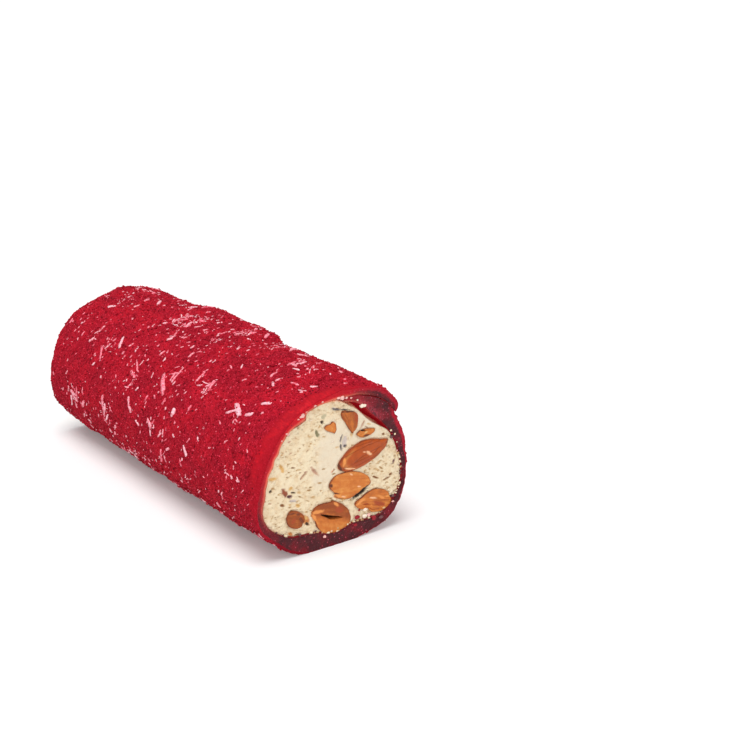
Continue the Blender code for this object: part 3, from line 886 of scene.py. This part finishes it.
def flesh_finish(filling):
    """A cut almond: flesh with light streaks inside a thin ring of skin, and painted shade in its slit."""
    finish, signal = new_finish("almond_flesh_cut")
    place = signal.place()
    streaks = place.grain(1.3 * MM, 4, 0.6).step(0.35, 0.72)
    worn = place.grain(3 * MM, 2).step(0.35, 0.6)
    fine = place.grain(0.4 * MM, 3)
    tone = signal.stored("tone") + streaks * 0.2 + fine * 0.2 - 0.2
    body = tone.step(-0.15, 0.6).mix(filling.flesh_dark, filling.flesh)
    light = tone.step(0.45, 1.15).mix(body, filling.flesh_light)
    ringed = ((1 - signal.stored("flesh")) * (0.15 + worn * 0.75)).mix(light, filling.skin_dark)
    return dress(
        finish,
        Base_Color=signal.stored("groove").mix(signal.marked(ringed), filling.slit),
        Roughness=0.4 + streaks * 0.15,
        Specular_IOR_Level=0.2,
        Normal=fine.bump(0.15 * MM, 0.4),
    )


def crumb_finish():
    """Crumbs of nougat and of the sheet, each of its own colour."""
    finish, signal = new_finish("crumbs")
    fine = signal.place().grain(0.3 * MM, 3)
    return dress(
        finish,
        Base_Color=signal.stored("tint", 0),
        Roughness=0.6,
        Specular_IOR_Level=0.3,
        Normal=fine.bump(0.15 * MM, 0.5),
    )


def new_data(name, mesh):
    """Mesh data from a finished bmesh, which is used up."""
    data = bpy.data.meshes.new(name)
    mesh.to_mesh(data)
    mesh.free()
    return data


def new_object(name, data):
    """An object of the scene."""
    made = bpy.data.objects.new(name, data)
    bpy.context.scene.collection.objects.link(made)
    return made


def add_piece(name, mesh, finishes, node):
    """Turn a finished bmesh into a piece that rides on the roll and stands for a solid.

    Its volume is negative where its faces point inwards, as bending it round the roll can turn them.
    """
    if mesh.calc_volume(signed=True) < 0:
        bmesh.ops.reverse_faces(mesh, faces=mesh.faces)
    data = new_data(name, mesh)
    for finish in finishes:
        data.materials.append(finish)
    data.shade_smooth()
    piece = new_object(name, data)
    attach(piece, "root")
    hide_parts(node)
    return piece


def copies(template, count):
    """A bmesh with `count` of what the template holds, one after another. The template is used up."""
    data = new_data("template", template)
    mesh = bmesh.new()
    mesh.from_mesh(data)
    bpy.data.meshes.remove(data)
    sequences = (mesh.verts, mesh.edges, mesh.faces)
    sizes = [len(sequence) for sequence in sequences]
    made = 1
    while made < count:
        more = min(made, count - made)
        geometry = []
        for sequence, size in zip(sequences, sizes):
            sequence.ensure_lookup_table()
            geometry += sequence[: more * size]
        bmesh.ops.duplicate(mesh, geom=geometry)
        made += more
    mesh.verts.ensure_lookup_table()
    return mesh


def sheet_rows():
    """The sheet's rows from inside at the near cut, over the coat, to inside at the far one.

    Each is (place along X, depth of the hidden inside, share of the wall: 0 inside, 1 on the coat).
    """
    inside = [(END - depth * MM, depth * MM, 0) for depth in HIDDEN_DEPTHS]
    cut = [(END, 0, step / CUT_STEPS) for step in range(CUT_STEPS)]
    edge = [(END - step * MM, 0, 1) for step in SHOULDER_STEPS]
    near = inside + cut + edge
    last = edge[-1][0]
    steps = round(2 * last / SHEET_STEP)
    body = [(last * (1 - 2 * step / steps), 0, 1) for step in range(1, steps)]
    return near + body + [(-x, depth, share) for x, depth, share in reversed(near)]


def sheet_columns():
    """The sheet's columns from inside at the tucked-in end, over the coat, to inside the flap.

    Each is (share of the sweep, degrees short of the nose, hidden degrees, share of the wall).
    """
    inside = [depth * MM / HIDDEN_SLOPE for depth in HIDDEN_DEPTHS]
    start = [(0, 0, hidden, 0) for hidden in inside] + [(0, 0, 0, 0)]
    turn = [(step / SHEET_COLUMNS, 0, 0, 1) for step in range(SHEET_COLUMNS)]
    nose = [(1, FLAP_NOSE * step, 0, 1) for step in NOSE_STEPS]
    end = [(1, 0, 0, 0)] + [(1, 0, hidden, 0) for hidden in reversed(inside)]
    return start + turn + nose + end


def sheet_place(row, column):
    """Where a row and a column of the sheet meet: x, degrees turned and share of the wall."""
    x, depth, wall = row
    part, short, hidden, column_wall = column
    inward = END - hidden * HIDDEN_SLOPE
    x = max(min(x, inward), -inward)
    sweep = sheet_sweep(x)
    turned = part * (sweep - FLAP_NOSE) if short == 0 and part < 1 else sweep - short
    if hidden:
        turned = hidden if part == 0 else sweep - hidden
    kept = depth / HIDDEN_SLOPE
    turned = max(min(turned, sweep - kept), kept)
    return x, turned, min(wall, column_wall)


def close_inside(mesh, rows):
    """Close the sheet's open rim with long hidden faces, one for each column."""
    rim = [edge for edge in mesh.edges if edge.is_boundary]
    near = sorted((vert for vert in mesh.verts if vert.co.y < 0.5), key=lambda vert: vert.co.x)
    far = sorted((vert for vert in mesh.verts if vert.co.y > rows - 1.5), key=lambda vert: vert.co.x)
    rest = bmesh.ops.contextual_create(mesh, geom=rim)["faces"][0]
    for start, end in list(zip(near, far))[1:-1]:
        one, other = bmesh.utils.face_split(rest, start, end)[0], rest
        rest = max(one, other, key=lambda face: max(vert.co.x for vert in face.verts))


def number_layers(mesh, *names):
    """Layers for numbers that a bmesh's vertices store."""
    return [mesh.verts.layers.float.new(name) for name in names]


def build_sheet(coat):
    """The lokum sheet: a fine grid rolled up round the log, over its cuts and into its inside."""
    rows, columns = sheet_rows(), sheet_columns()
    mesh = bmesh.new()
    smears, thins, crusts, betweens, painted_glows, underside_shades = number_layers(
        mesh, "smear", "thin", "crust", "between", "glow", "damp"
    )
    bmesh.ops.create_grid(mesh, x_segments=len(columns) - 1, y_segments=len(rows) - 1, size=0.5)
    for vert in mesh.verts:
        vert.co.x = round((vert.co.x + 0.5) * (len(columns) - 1))
        vert.co.y = round((vert.co.y + 0.5) * (len(rows) - 1))
    close_inside(mesh, len(rows))
    smear_shade_start, smear_shade_stop = SMEAR_SHADE_ANGLES
    walls = {}
    for vert in mesh.verts:
        x, turned, wall = sheet_place(rows[int(vert.co.y)], columns[int(vert.co.x)])
        angle = TUCK_ANGLE - turned
        up = sin(radians(angle))
        inner = sheet_radii(turned)[0]
        outer = outer_radius(x, turned) if wall else inner
        on_end = abs(x) == END
        on_near_side = x > 0
        drawn = lip(x, angle % 360) * ease((angle + 350) / 20) if on_end else 0
        radius = inner - drawn + (outer - inner + drawn) * wall
        vert.co = in_polar(x, angle, radius)
        # Painted shade: a band of the smear at these angles keeps less of its bright colour
        smear_shade_band = ease((angle % 360 - smear_shade_start) / (smear_shade_stop - smear_shade_start)) * on_near_side
        smear_shade_band *= ease(2 - (END - x) / SMEAR_SHADE_RUN) * ease((wall - 0.4) / 0.3)
        vert[smears] = smear(x, angle) * (1 - SMEAR_SHADE * smear_shade_band)
        # Painted shade: darker towards the underside, where the crust is also kept off
        vert[underside_shades] = UNDERSIDE_SHADE * ease((-up - UNDERSIDE_SHADE_FROM) / UNDERSIDE_SHADE_RUN)
        vert[thins] = ease(1 - wall / 0.4) if on_end else 0
        covered = ease((sheet_sweep(x) - 360 - turned) / 10)
        rolled_over = plateau(angle % 360, *ROLLED_OVER_ANGLES) * on_near_side
        # The crust's red band widens towards the top of the cut: partly the coat's crust, partly painted
        # light from above
        crust = CRUST + TOP_LIGHT_CRUST_GROWTH * ease(0.4 + 1.2 * up)
        bare_unshaded = (1 - covered) * (1 - vert[underside_shades])
        vert[crusts] = max(1 - (outer - radius) / crust, rolled_over) * bare_unshaded if wall else 0
        tucked = ease((turned - BETWEEN_START) / BETWEEN_START)
        vert[betweens] = covered * tucked * ease((BETWEEN_RUN - radius + inner) / (0.6 * MM))
        if on_end and 0 < wall < 1:
            vert.co.x -= math.copysign(CUT_RELIEF * (1 + noise.noise(vert.co / CUT_LUMP)), x)
        # The inner faces that are not on a cut get the painted glow
        vert[painted_glows] = int(wall == 0 and not on_end)
        walls[vert] = wall if on_end else int(wall == 1)
    for face in mesh.faces:
        face.material_index = int(min(walls[vert] for vert in face.verts) < 1)
    bmesh.ops.remove_doubles(mesh, verts=mesh.verts, dist=0.002 * MM)
    bmesh.ops.recalc_face_normals(mesh, faces=mesh.faces)
    add_piece("lokum_sheet", mesh, [powder_finish(coat), cut_finish(coat)], "wrap")


def coat_place(draw, margin):
    """A seeded place on the coat, off the smears: x and angle."""
    while True:
        x = draw.uniform(-1, 1) * (END - margin)
        angle = draw.uniform(-90, 270)
        clear = smear(x, angle) < 0.2 + 0.8 * draw.random()
        off_seam = abs(angle - flap_angle(x) + 1) > 3
        if clear and off_seam:
            return x, angle


def build_grains(name, finish, mesh, count, seed, radii):
    """Loose grains or clumps of the powder: copies of one small solid, half sunk in the coat, in mm."""
    draw = random.Random(seed)
    size = len(mesh.verts)
    mesh = copies(mesh, count)
    (tones,) = number_layers(mesh, "tone")
    for index in range(count):
        x, angle = coat_place(draw, 0.5 * MM)
        radius = draw.uniform(*radii) * MM * draw.uniform(0.7, 1)
        centre = skin_point(x, angle, 0)
        turn = draw.uniform(0, 2 * math.pi)
        stretch = draw.uniform(0.7, 1.5)
        tone = draw.random()
        tilt = radians(angle)
        for vert in mesh.verts[index * size : (index + 1) * size]:
            along, aside = rotated(vert.co.x, vert.co.y, turn)
            aside *= radius
            offset = Vector((radius * stretch * along, -aside * sin(tilt), aside * cos(tilt)))
            out = Vector((0, cos(tilt), sin(tilt))) * radius * (vert.co.z * 0.8 + 0.2)
            vert.co = inside_box(centre + offset + out)
            vert[tones] = tone
    add_piece(name, mesh, [finish], "wrap")


def shred_places(draw, count):
    """Seeded places for shreds, some drawn together: x, angle, lean and whether it lies in a cluster."""
    centres = [(x * MM, angle) for x, angle in NAMED_CLUSTERS]
    centres += [coat_place(draw, 5 * MM) for _ in range(CLUSTERS)]
    clusters = [(*centre, draw.gauss(90, 45)) for centre in centres]
    places = []
    while len(places) < count:
        x, angle = coat_place(draw, 1.5 * MM)
        lean = 90 + draw.gauss(0, 34)
        clustered = draw.random() < CLUSTERED_SHARE
        if clustered:
            x, angle, cluster_lean = draw.choice(clusters)
            run, off = draw.gauss(0, 2.2) * MM, draw.gauss(0, 0.8) * MM
            along, around = rotated(run, off, radians(cluster_lean))
            x += along
            angle += math.degrees(around / COAT_RADIUS)
            lean = cluster_lean + draw.gauss(0, 40)
        end_run = END - abs(x)
        bare = drag(x, angle) * (1 - end_run / SHRED_FREE_RUN)
        sparse = SPARSE_SHARE * ease((abs(x) - SPARSE_FROM) / SPARSE_RUN)
        if end_run > 1.2 * MM and draw.random() > max(2.5 * bare, sparse):
            places.append((x, angle, lean, clustered))
    return places


def build_shreds(name, coat, named, seed, cuts, lengths, widths, proud):
    """Coconut shreds: strips with narrower tips, bent to the roll and half sunk in its coat."""
    draw = random.Random(seed)
    count = getattr(coat, name)
    mesh = bmesh.new()
    bmesh.ops.create_cube(mesh, size=1)
    for step in range(1, cuts):
        bmesh.ops.bisect_plane(
            mesh,
            geom=mesh.verts[:] + mesh.edges[:] + mesh.faces[:],
            plane_co=(step / cuts - 0.5, 0, 0),
            plane_no=(1, 0, 0),
        )
    size = len(mesh.verts)
    mesh = copies(mesh, count)
    (dusts,) = number_layers(mesh, "dust")
    for index, (x, angle, lean, clustered) in enumerate(shred_places(draw, count)):
        length = (lengths[0] + (lengths[1] - lengths[0]) * draw.random() ** 2) * MM
        width = min(draw.uniform(*widths) * MM * (0.6 if clustered else 1), length * 0.6)
        if index < len(named):
            x, angle, lean, length, width = named[index]
            x, length, width = x * MM, length * MM, width * MM
        bend = draw.gauss(0, 0.16 if clustered else 0.07)
        dust = draw.random() ** 0.8
        lift = draw.uniform(-0.3, 1)
        skew = draw.uniform(-0.5, 0.5)
        for vert in mesh.verts[index * size : (index + 1) * size]:
            local = vert.co
            narrowing = 1 - 0.4 * (2 * local.x) ** 4
            along = (local.x + skew * local.y * width / length) * length
            aside = local.y * width * narrowing + bend * length * (local.x**2 - 0.1)
            height = (proud if local.z > 0 else -SHRED_SUNK) * MM * (1 + lift * local.x)
            forward, around = rotated(along, aside, radians(lean))
            vert.co = skin_point(x + forward, angle + math.degrees(around / COAT_RADIUS), height)
            vert[dusts] = dust
    add_piece(name, mesh, [shred_finish(coat)], "wrap")


def almond_axes(almond):
    """Unit vectors along and across an almond's outline in the cut."""
    tilt = radians(almond.tilt)
    return Vector((0, cos(tilt), sin(tilt))), Vector((0, -sin(tilt), cos(tilt)))


def taper(almond, share):
    """How much narrower an almond is at a share of its half length towards the right tip."""
    return (1 - almond.point * max(min(share, 1), -1)) / (1 + almond.point**2 / 2)


def rim_share(almond, along, aside):
    """How much an almond's outline swells in a direction of its own axes."""
    return outline(almond.rim, math.degrees(math.atan2(aside, along))) / MM


def from_outline(almond, across, up):
    """Distance from a place in the cut to an almond's outline, negative inside."""
    along, aside = almond_axes(almond)
    offset = Vector((0, across - almond.across * MM, up - almond.up * MM))
    z = offset.dot(along) / (almond.length / 2 * MM)
    x = offset.dot(aside) / (almond.width / 2 * MM * taper(almond, z))
    return (math.hypot(x, z) - rim_share(almond, z, x)) * almond.width / 2 * MM


def smoothed(across, up):
    """Where the knife pressed the nougat smooth: a band down the middle of the cut, 0 to 1."""
    across, up = across / MM, up / MM
    band = abs(across + 0.8 - 0.25 * (up - 22)) / 4.4
    ragged = 0.5 * noise.noise(Vector((across, up, 0)) / 3)
    corner = ease(2 - math.hypot(across - 9, up - 28) / 3.6 + ragged)
    return max(ease(1.5 - band + ragged) * plateau(up, 13, 18, 28, 34), corner)


def nougat_relief(across, up, end, depth):
    """How deep the cut lies below its plane, and how much of that is a pit."""
    place = Vector((across / MM, up / MM, 9 * end))
    calm = smoothed(across, up)
    waves = 0.12 * MM * (noise.noise(place / 6) + 1)
    fine = 0.16 * MM * (noise.noise(place / 0.8) + 1) * (1 - calm)
    near_cell = noise.voronoi(Vector((place.x * 0.55, place.y, place.z)) / 1.1)[0][0]
    patchy = ease(1.6 * (noise.noise(place / 4.5) + 0.35))
    pit = ease((0.28 - near_cell) / 0.2) * patchy * (1 - calm)
    return waves + fine + depth * pit, pit


def scattered_marks(draw):
    """Seeded small cracks and crumbs of a cut, most of them dashes that the knife drew."""
    marks = []
    for _ in range(SCATTERED_MARKS):
        length = draw.uniform(0.35, 0.85) + 0.7 * draw.random() ** 5
        place = draw.uniform(-20, 20), draw.uniform(3, 36)
        width, tilt = length * draw.uniform(0.2, 0.45), draw.gauss(-12, 20)
        marks.append((*place, length, width, tilt, draw.choice(SCATTERED_TINTS), draw.uniform(0.1, 0.35)))
    return marks


def press_marks(mesh, tints, end, marks):
    """Sink and colour a cut face at its marks."""
    verts = [vert for vert in mesh.verts if vert.co.x * end > 0]
    tree = kdtree.KDTree(len(verts))
    for index, vert in enumerate(verts):
        tree.insert(vert.co, index)
    tree.balance()
    for across, up, length, width, tilt, tint, sunk in marks:
        centre = Vector((end * NOUGAT_END, across * MM, up * MM))
        paint = screen(*TINTS[tint])
        calm = smoothed(centre.y, centre.z) if length < 1 else 0
        for place, index, _ in tree.find_range(centre, length / 2 * MM + MARK_REACH):
            off = place - centre
            along, aside = rotated(off.y, off.z, -radians(tilt))
            away = math.hypot(along / (length / 2 * MM), aside / (width / 2 * MM))
            ragged = 0.35 * noise.noise(place / (0.6 * MM))
            share = ease((1.15 - away + ragged) / 0.6) * (1 - 0.9 * calm)
            if share > 0:
                vert = verts[index]
                *old, covered = vert[tints]
                mixed = [was + (new - was) * share for was, new in zip(old, paint)] if covered else paint
                vert[tints] = (*mixed, max(covered, share))
                vert.co.x -= end * sunk * MM * share


def build_nougat(filling):
    """The nougat log, with fine grids for its two cut ends."""
    mesh = bmesh.new()
    pits, smooths, stains = number_layers(mesh, "pit", "smooth", "stain")
    tints = mesh.verts.layers.float_color.new("tint")
    bmesh.ops.create_cube(mesh, size=2)
    ends = [edge for edge in mesh.edges if edge.verts[0].co.x * edge.verts[1].co.x > 0]
    bmesh.ops.subdivide_edges(mesh, edges=ends, cuts=NOUGAT_CELLS - 1, use_grid_fill=True)
    for vert in mesh.verts:
        end = math.copysign(1, vert.co.x)
        side, rise = vert.co.y, vert.co.z
        reach = max(abs(side), abs(rise))
        if reach == 0:
            angle = 0
        elif abs(side) > abs(rise):
            angle = 45 * rise / side + (180 if side < 0 else 0)
        else:
            angle = 90 - 45 * side / rise + (180 if rise < 0 else 0)
        radius = (outline(NOUGAT_RADII, angle) + NOUGAT_SPREAD) * reach
        grown = radius + outline(BODY_GROWTH, angle) * body_share(end * NOUGAT_END) * reach
        across, up = in_section(angle, grown)
        sunk, pit = nougat_relief(across, up, end, filling.pit_depth)
        almonds = NEAR_ALMONDS if end > 0 else FAR_ALMONDS
        gap = min(from_outline(almond, across - CENTRING, up) for almond in almonds)
        groove = ease((0.3 * MM - gap) / (0.25 * MM))
        from_rim = (1 - reach) * radius
        rim = 1 - round_off(from_rim, NOUGAT_ROUNDING)
        opened = plateau(angle, *SEAM_RECESS_ANGLES) * (end > 0)
        recess = ease((SEAM_RECESS * opened - from_rim) / (0.2 * MM))
        under_almond = ease((-0.3 * MM - gap) / (0.5 * MM))
        sunk += (0.12 * groove + 0.4 * rim + 2.6 * under_almond + 3 * recess) * MM
        vert.co = (end * (NOUGAT_END - sunk), across, up)
        # Painted shade: a little pit colour in the groove round each almond
        vert[pits] = max(pit, 0.2 * groove)
        vert[smooths] = smoothed(across, up)
        dragged = ease(2.2 * drag(end, angle) + (0.5 if 60 < angle < 120 and end > 0 else 0))
        vert[stains] = max(dragged * ease(1.25 - from_rim / STAIN_RUN), recess)
        vert[tints] = (*filling.pit, 0)
    draw = random.Random(21)
    press_marks(mesh, tints, 1, [*scattered_marks(draw), *NEAR_MARKS])
    press_marks(mesh, tints, -1, scattered_marks(draw))
    bmesh.ops.recalc_face_normals(mesh, faces=mesh.faces)
    add_piece("nougat_log", mesh, [nougat_finish(filling)], "nougat")


def almond_face(almond, ball, flat, half_length, half_width):
    """The part of an almond that shows: its height, skin ring, darkness and tone."""
    reach = min(math.hypot(ball.x, ball.z), 1)
    wrinkle = noise.noise(Vector((ball.x * 2.6, ball.z * 0.9, almond.up)))
    if almond.dome:
        ridge = ease(1 - abs(wrinkle) / 0.1)
        height = almond.dome * MM * math.sqrt(1 - reach * reach) - 0.14 * MM * ridge
        # A painted highlight: a light crescent by the rim at the blunt end, stored as the tone
        light = 0.4 * ease((-ball.z - 0.3) / 0.3) * ease(1 - abs(reach - 0.8) / 0.14)
        # Darker in the wrinkles, partly their own colour and partly painted shade, and darker at the rim as
        # painted shade
        return height, 1, 0.55 * ridge + 0.8 * ease((reach - 0.93) / 0.07), light
    streak = noise.noise(Vector((ball.x * 6, ball.z * 1.8, almond.up)))
    ragged = 2.2 if almond.kind == "broken" else 0.9
    height = ALMOND_PROUD - 0.1 * MM * (noise.noise(flat / (1.7 * MM)) + 1) - 0.1 * MM * ragged * abs(streak)
    flesh = ease((1 - reach) * half_width / SKIN_THICKNESS)
    tone = almond.tone + 0.2 * wrinkle + 0.25 * ragged * streak
    groove = 0
    if almond.kind == "slit":
        slit = abs(ball.z * half_length * 2 / SLIT_LENGTH)
        open_width = SLIT_WIDTH / 2 * (1 - slit * slit)
        off_slit = abs(ball.x * half_width + 0.15 * MM * cos(3 * slit))
        if slit < 1:
            groove = ease((open_width - off_slit) / (0.12 * MM) + 0.5)
        height -= SLIT_DEPTH * groove
        tone += 0.25 * ease((-ball.x - 0.1) / 0.5) - 0.4 * ease(ball.x / 0.4)
    return height, flesh, groove, tone


def build_almond(almond, end, finishes):
    """An almond in one cut (1 near, -1 far): a tapered ball, flat where the knife went through."""
    half_depth, half_length, half_width = (
        size / 2 * MM for size in (almond.depth, almond.length, almond.width)
    )
    centre = Vector((end * NOUGAT_END, CENTRING + almond.across * MM, almond.up * MM))
    along, aside = almond_axes(almond)
    mesh = bmesh.new()
    fleshes, grooves, tones = number_layers(mesh, "flesh", "groove", "tone")
    tints = mesh.verts.layers.float_color.new("tint")
    bmesh.ops.create_icosphere(mesh, subdivisions=6 if almond.length > 5 else 5, radius=1)
    for vert in mesh.verts:
        ball = vert.co.copy()
        swell = rim_share(almond, ball.z, ball.x) * (1 + 0.03 * noise.noise(ball * 3.5))
        width = half_width * taper(almond, ball.z)
        flat = centre + (along * ball.z * half_length + aside * ball.x * width) * swell
        height = ball.y * half_depth
        if ball.y > 0:
            height, vert[fleshes], vert[grooves], vert[tones] = almond_face(
                almond, ball, flat, half_length, half_width
            )
        vert.co = inside_box(flat + Vector((end * height, 0, 0)))
        vert[tints] = (*screen(*TINTS["amber"]), 0)
    if end > 0:
        press_marks(mesh, tints, end, ALMOND_MARKS.get(almond.kind, ()))
    bmesh.ops.recalc_face_normals(mesh, faces=mesh.faces)
    slot = "almond_skin" if almond.dome else "almond_flesh"
    node = ("near_almond_" if end > 0 else "far_almond_") + almond.kind
    add_piece(node + "_kernel", mesh, [finishes[slot]], node)


def rim_crumbs(draw):
    """Seeded small crumbs on the nougat's rim: its own in the lower right, pink and red ones at the top."""
    crumbs = []
    for _ in range(SCATTERED_CRUMBS):
        low = draw.random() < 0.75
        angle = draw.uniform(-150, 22) if low else draw.uniform(86, 150)
        tint = draw.choice(("cream", "cream", "tan", "cream", "plum") if low else ("pink", "crimson"))
        radius = outline(NOUGAT_RADII, angle) + draw.gauss(0.1, 0.2) * MM
        across, up = in_section(angle, radius)
        crumbs.append((across / MM, up / MM, draw.uniform(0.4, 1.2), tint))
    return crumbs


def build_crumbs(name, crumbs, subdivisions, draw, rise):
    """Crumbs that the knife left on the near cut, those on the sheet's face raised by `rise`."""
    mesh = bmesh.new()
    bmesh.ops.create_icosphere(mesh, subdivisions=subdivisions, radius=0.5)
    size = len(mesh.verts)
    mesh = copies(mesh, len(crumbs))
    tints = mesh.verts.layers.float_color.new("tint")
    for index, (across, up, width, tint) in enumerate(crumbs):
        across, up = across * MM, up * MM
        angle = math.degrees(math.atan2(up - AXIS_HEIGHT, across - AXIS_ACROSS))
        on_sheet = math.hypot(up - AXIS_HEIGHT, across - AXIS_ACROSS) > outline(NOUGAT_RADII, angle)
        centre = Vector((NOUGAT_END + rise * on_sheet, across, up))
        stretch = draw.uniform(0.5, 1)
        for vert in mesh.verts[index * size : (index + 1) * size]:
            bump = 1 + 0.5 * noise.noise(vert.co * 3 + Vector((index, 0, 0)))
            local = vert.co * bump * width * MM
            vert.co = inside_box(centre + Vector((local.x * 0.5, local.y, local.z * stretch)))
            vert[tints] = (*screen(*TINTS[tint]), 1)
    add_piece(name, mesh, [crumb_finish()], "nougat")


class SWEETS_OT_sheet(bpy.types.Operator):
    """Roll the lokum sheet with its powdered coat"""

    bl_idname = "sweets.sheet"
    bl_label = "Lokum sheet"

    def execute(self, context):
        build_sheet(context.scene.sweets_coat)
        return {"FINISHED"}


class SWEETS_OT_grains(bpy.types.Operator):
    """Scatter loose powder grains on the coat"""

    bl_idname = "sweets.grains"
    bl_label = "Powder grains"

    def execute(self, context):
        coat = context.scene.sweets_coat
        coarse, fine, clump = bmesh.new(), bmesh.new(), bmesh.new()
        bmesh.ops.create_uvsphere(coarse, u_segments=4, v_segments=2, radius=1)
        bmesh.ops.create_cone(fine, cap_ends=True, segments=3, radius1=1, radius2=0, depth=1.6)
        bmesh.ops.remove_doubles(fine, verts=fine.verts, dist=0.001)
        bmesh.ops.create_icosphere(clump, subdivisions=1, radius=1)
        build_grains("powder_grains", grain_finish(coat), coarse, coat.grains, 11, (0.15, 0.32))
        build_grains("powder_dust", grain_finish(coat), fine, coat.dust, 13, (0.1, 0.24))
        build_grains("powder_clumps", powder_finish(coat), clump, coat.clumps, 17, (0.22, 0.56))
        return {"FINISHED"}


class SWEETS_OT_shreds(bpy.types.Operator):
    """Scatter coconut shreds on the coat"""

    bl_idname = "sweets.shreds"
    bl_label = "Coconut shreds"

    def execute(self, context):
        for name, *kind in SHREDS:
            build_shreds(name, context.scene.sweets_coat, *kind)
        return {"FINISHED"}


class SWEETS_OT_nougat(bpy.types.Operator):
    """Shape the nougat log and its porous cuts"""

    bl_idname = "sweets.nougat"
    bl_label = "Nougat log"

    def execute(self, context):
        build_nougat(context.scene.sweets_filling)
        return {"FINISHED"}


class SWEETS_OT_almonds(bpy.types.Operator):
    """Set the almonds into both cuts"""

    bl_idname = "sweets.almonds"
    bl_label = "Almonds"

    def execute(self, context):
        filling = context.scene.sweets_filling
        finishes = {"almond_skin": skin_finish(filling), "almond_flesh": flesh_finish(filling)}
        for end, almonds in ((1, NEAR_ALMONDS), (-1, FAR_ALMONDS)):
            for almond in almonds:
                build_almond(almond, end, finishes)
        return {"FINISHED"}


class SWEETS_OT_crumbs(bpy.types.Operator):
    """Scatter crumbs on the near cut"""

    bl_idname = "sweets.crumbs"
    bl_label = "Crumbs"

    def execute(self, context):
        draw = random.Random(31)
        build_crumbs("cut_crumbs", NEAR_CRUMBS, 3, draw, NOUGAT_RECESS)
        build_crumbs("rim_crumbs", rim_crumbs(draw), 1, draw, 0)
        return {"FINISHED"}


def aimed(name, data, place, target):
    """A light or camera at a place, turned to its target."""
    made = new_object(name, data)
    made.location = place
    made.rotation_euler = (Vector(target) - Vector(place)).to_track_quat("-Z", "Y").to_euler()
    return made


def add_light(name, kind, place, power):
    """A light that looks at the roll from a place."""
    data = bpy.data.lights.new(name, kind)
    data.energy = power
    aimed(name, data, place, (0, 0, 0))
    return data


class SWEETS_OT_stage(bpy.types.Operator):
    """Lay the pale floor and set the soft lights and the camera"""

    bl_idname = "sweets.stage"
    bl_label = "Stage"

    def execute(self, context):
        stage = context.scene.sweets_stage
        mesh = bmesh.new()
        bmesh.ops.create_grid(mesh, x_segments=1, y_segments=1, size=20)
        floor = new_object("floor", new_data("floor", mesh))
        finish = dress(
            new_finish("floor_white")[0],
            Base_Color=(0.8, 0.8, 0.8),
            Roughness=0.7,
            Specular_IOR_Level=0.1,
            Emission_Color=(1, 1, 1),
            Emission_Strength=stage.glow,
        )
        floor.data.materials.append(finish)

        flat = cos(stage.elevation)
        across, along = sin(stage.azimuth) * flat, -cos(stage.azimuth) * flat
        back = Vector((across, along, sin(stage.elevation)))
        lens = bpy.data.cameras.new("camera")
        lens.lens = stage.lens
        lens.clip_start = 10 * MM
        aim = Vector(stage.aim)
        context.scene.camera = aimed("camera", lens, aim + back * stage.distance, aim)

        add_light("key", "SUN", (0.08, -0.16, 0.75), stage.key).angle = radians(40)
        add_light("fill", "AREA", (0.68, -0.36, 0.35), stage.fill_power).size = 0.4
        add_light("glint", "AREA", (0.62, 0.42, 0.06), stage.glint_power).size = 0.08
        world = bpy.data.worlds.new("sky")
        world.use_nodes = True
        signal = Signal(world.node_tree)
        background = world.node_tree.nodes["Background"].inputs
        signal.feed(background["Color"], (1, 1, 1))
        signal.feed(background["Strength"], signal.node("LightPath") * (1 - stage.sky) + stage.sky)
        context.scene.world = world
        context.scene.view_settings.view_transform = "Standard"
        return {"FINISHED"}


class SWEETS_PT_panel(bpy.types.Panel):
    """The steps that dress the roll"""

    bl_label = "Rolled turkish delight"
    bl_idname = "SWEETS_PT_panel"
    bl_space_type = "VIEW_3D"
    bl_region_type = "UI"
    bl_category = "Sweets"

    def draw(self, context):
        for step in STEPS:
            self.layout.operator(step.bl_idname)


STEPS = (
    SWEETS_OT_sheet,
    SWEETS_OT_grains,
    SWEETS_OT_shreds,
    SWEETS_OT_nougat,
    SWEETS_OT_almonds,
    SWEETS_OT_crumbs,
    SWEETS_OT_stage,
)
SETTINGS = {"sweets_coat": CoatSettings, "sweets_filling": FillingSettings, "sweets_stage": StageSettings}


def register():
    for group in (*SETTINGS.values(), *STEPS, SWEETS_PT_panel):
        bpy.utils.register_class(group)
    for name, group in SETTINGS.items():
        setattr(bpy.types.Scene, name, PointerProperty(type=group))


def unregister():
    for name in SETTINGS:
        delattr(bpy.types.Scene, name)
    for group in reversed((*SETTINGS.values(), *STEPS, SWEETS_PT_panel)):
        bpy.utils.unregister_class(group)


def main():
    register()
    bpy.ops.sweets.sheet()
    bpy.ops.sweets.grains()
    bpy.ops.sweets.shreds()
    bpy.ops.sweets.nougat()
    bpy.ops.sweets.almonds()
    bpy.ops.sweets.crumbs()
    bpy.ops.sweets.stage()


if __name__ == "__main__":
    main()
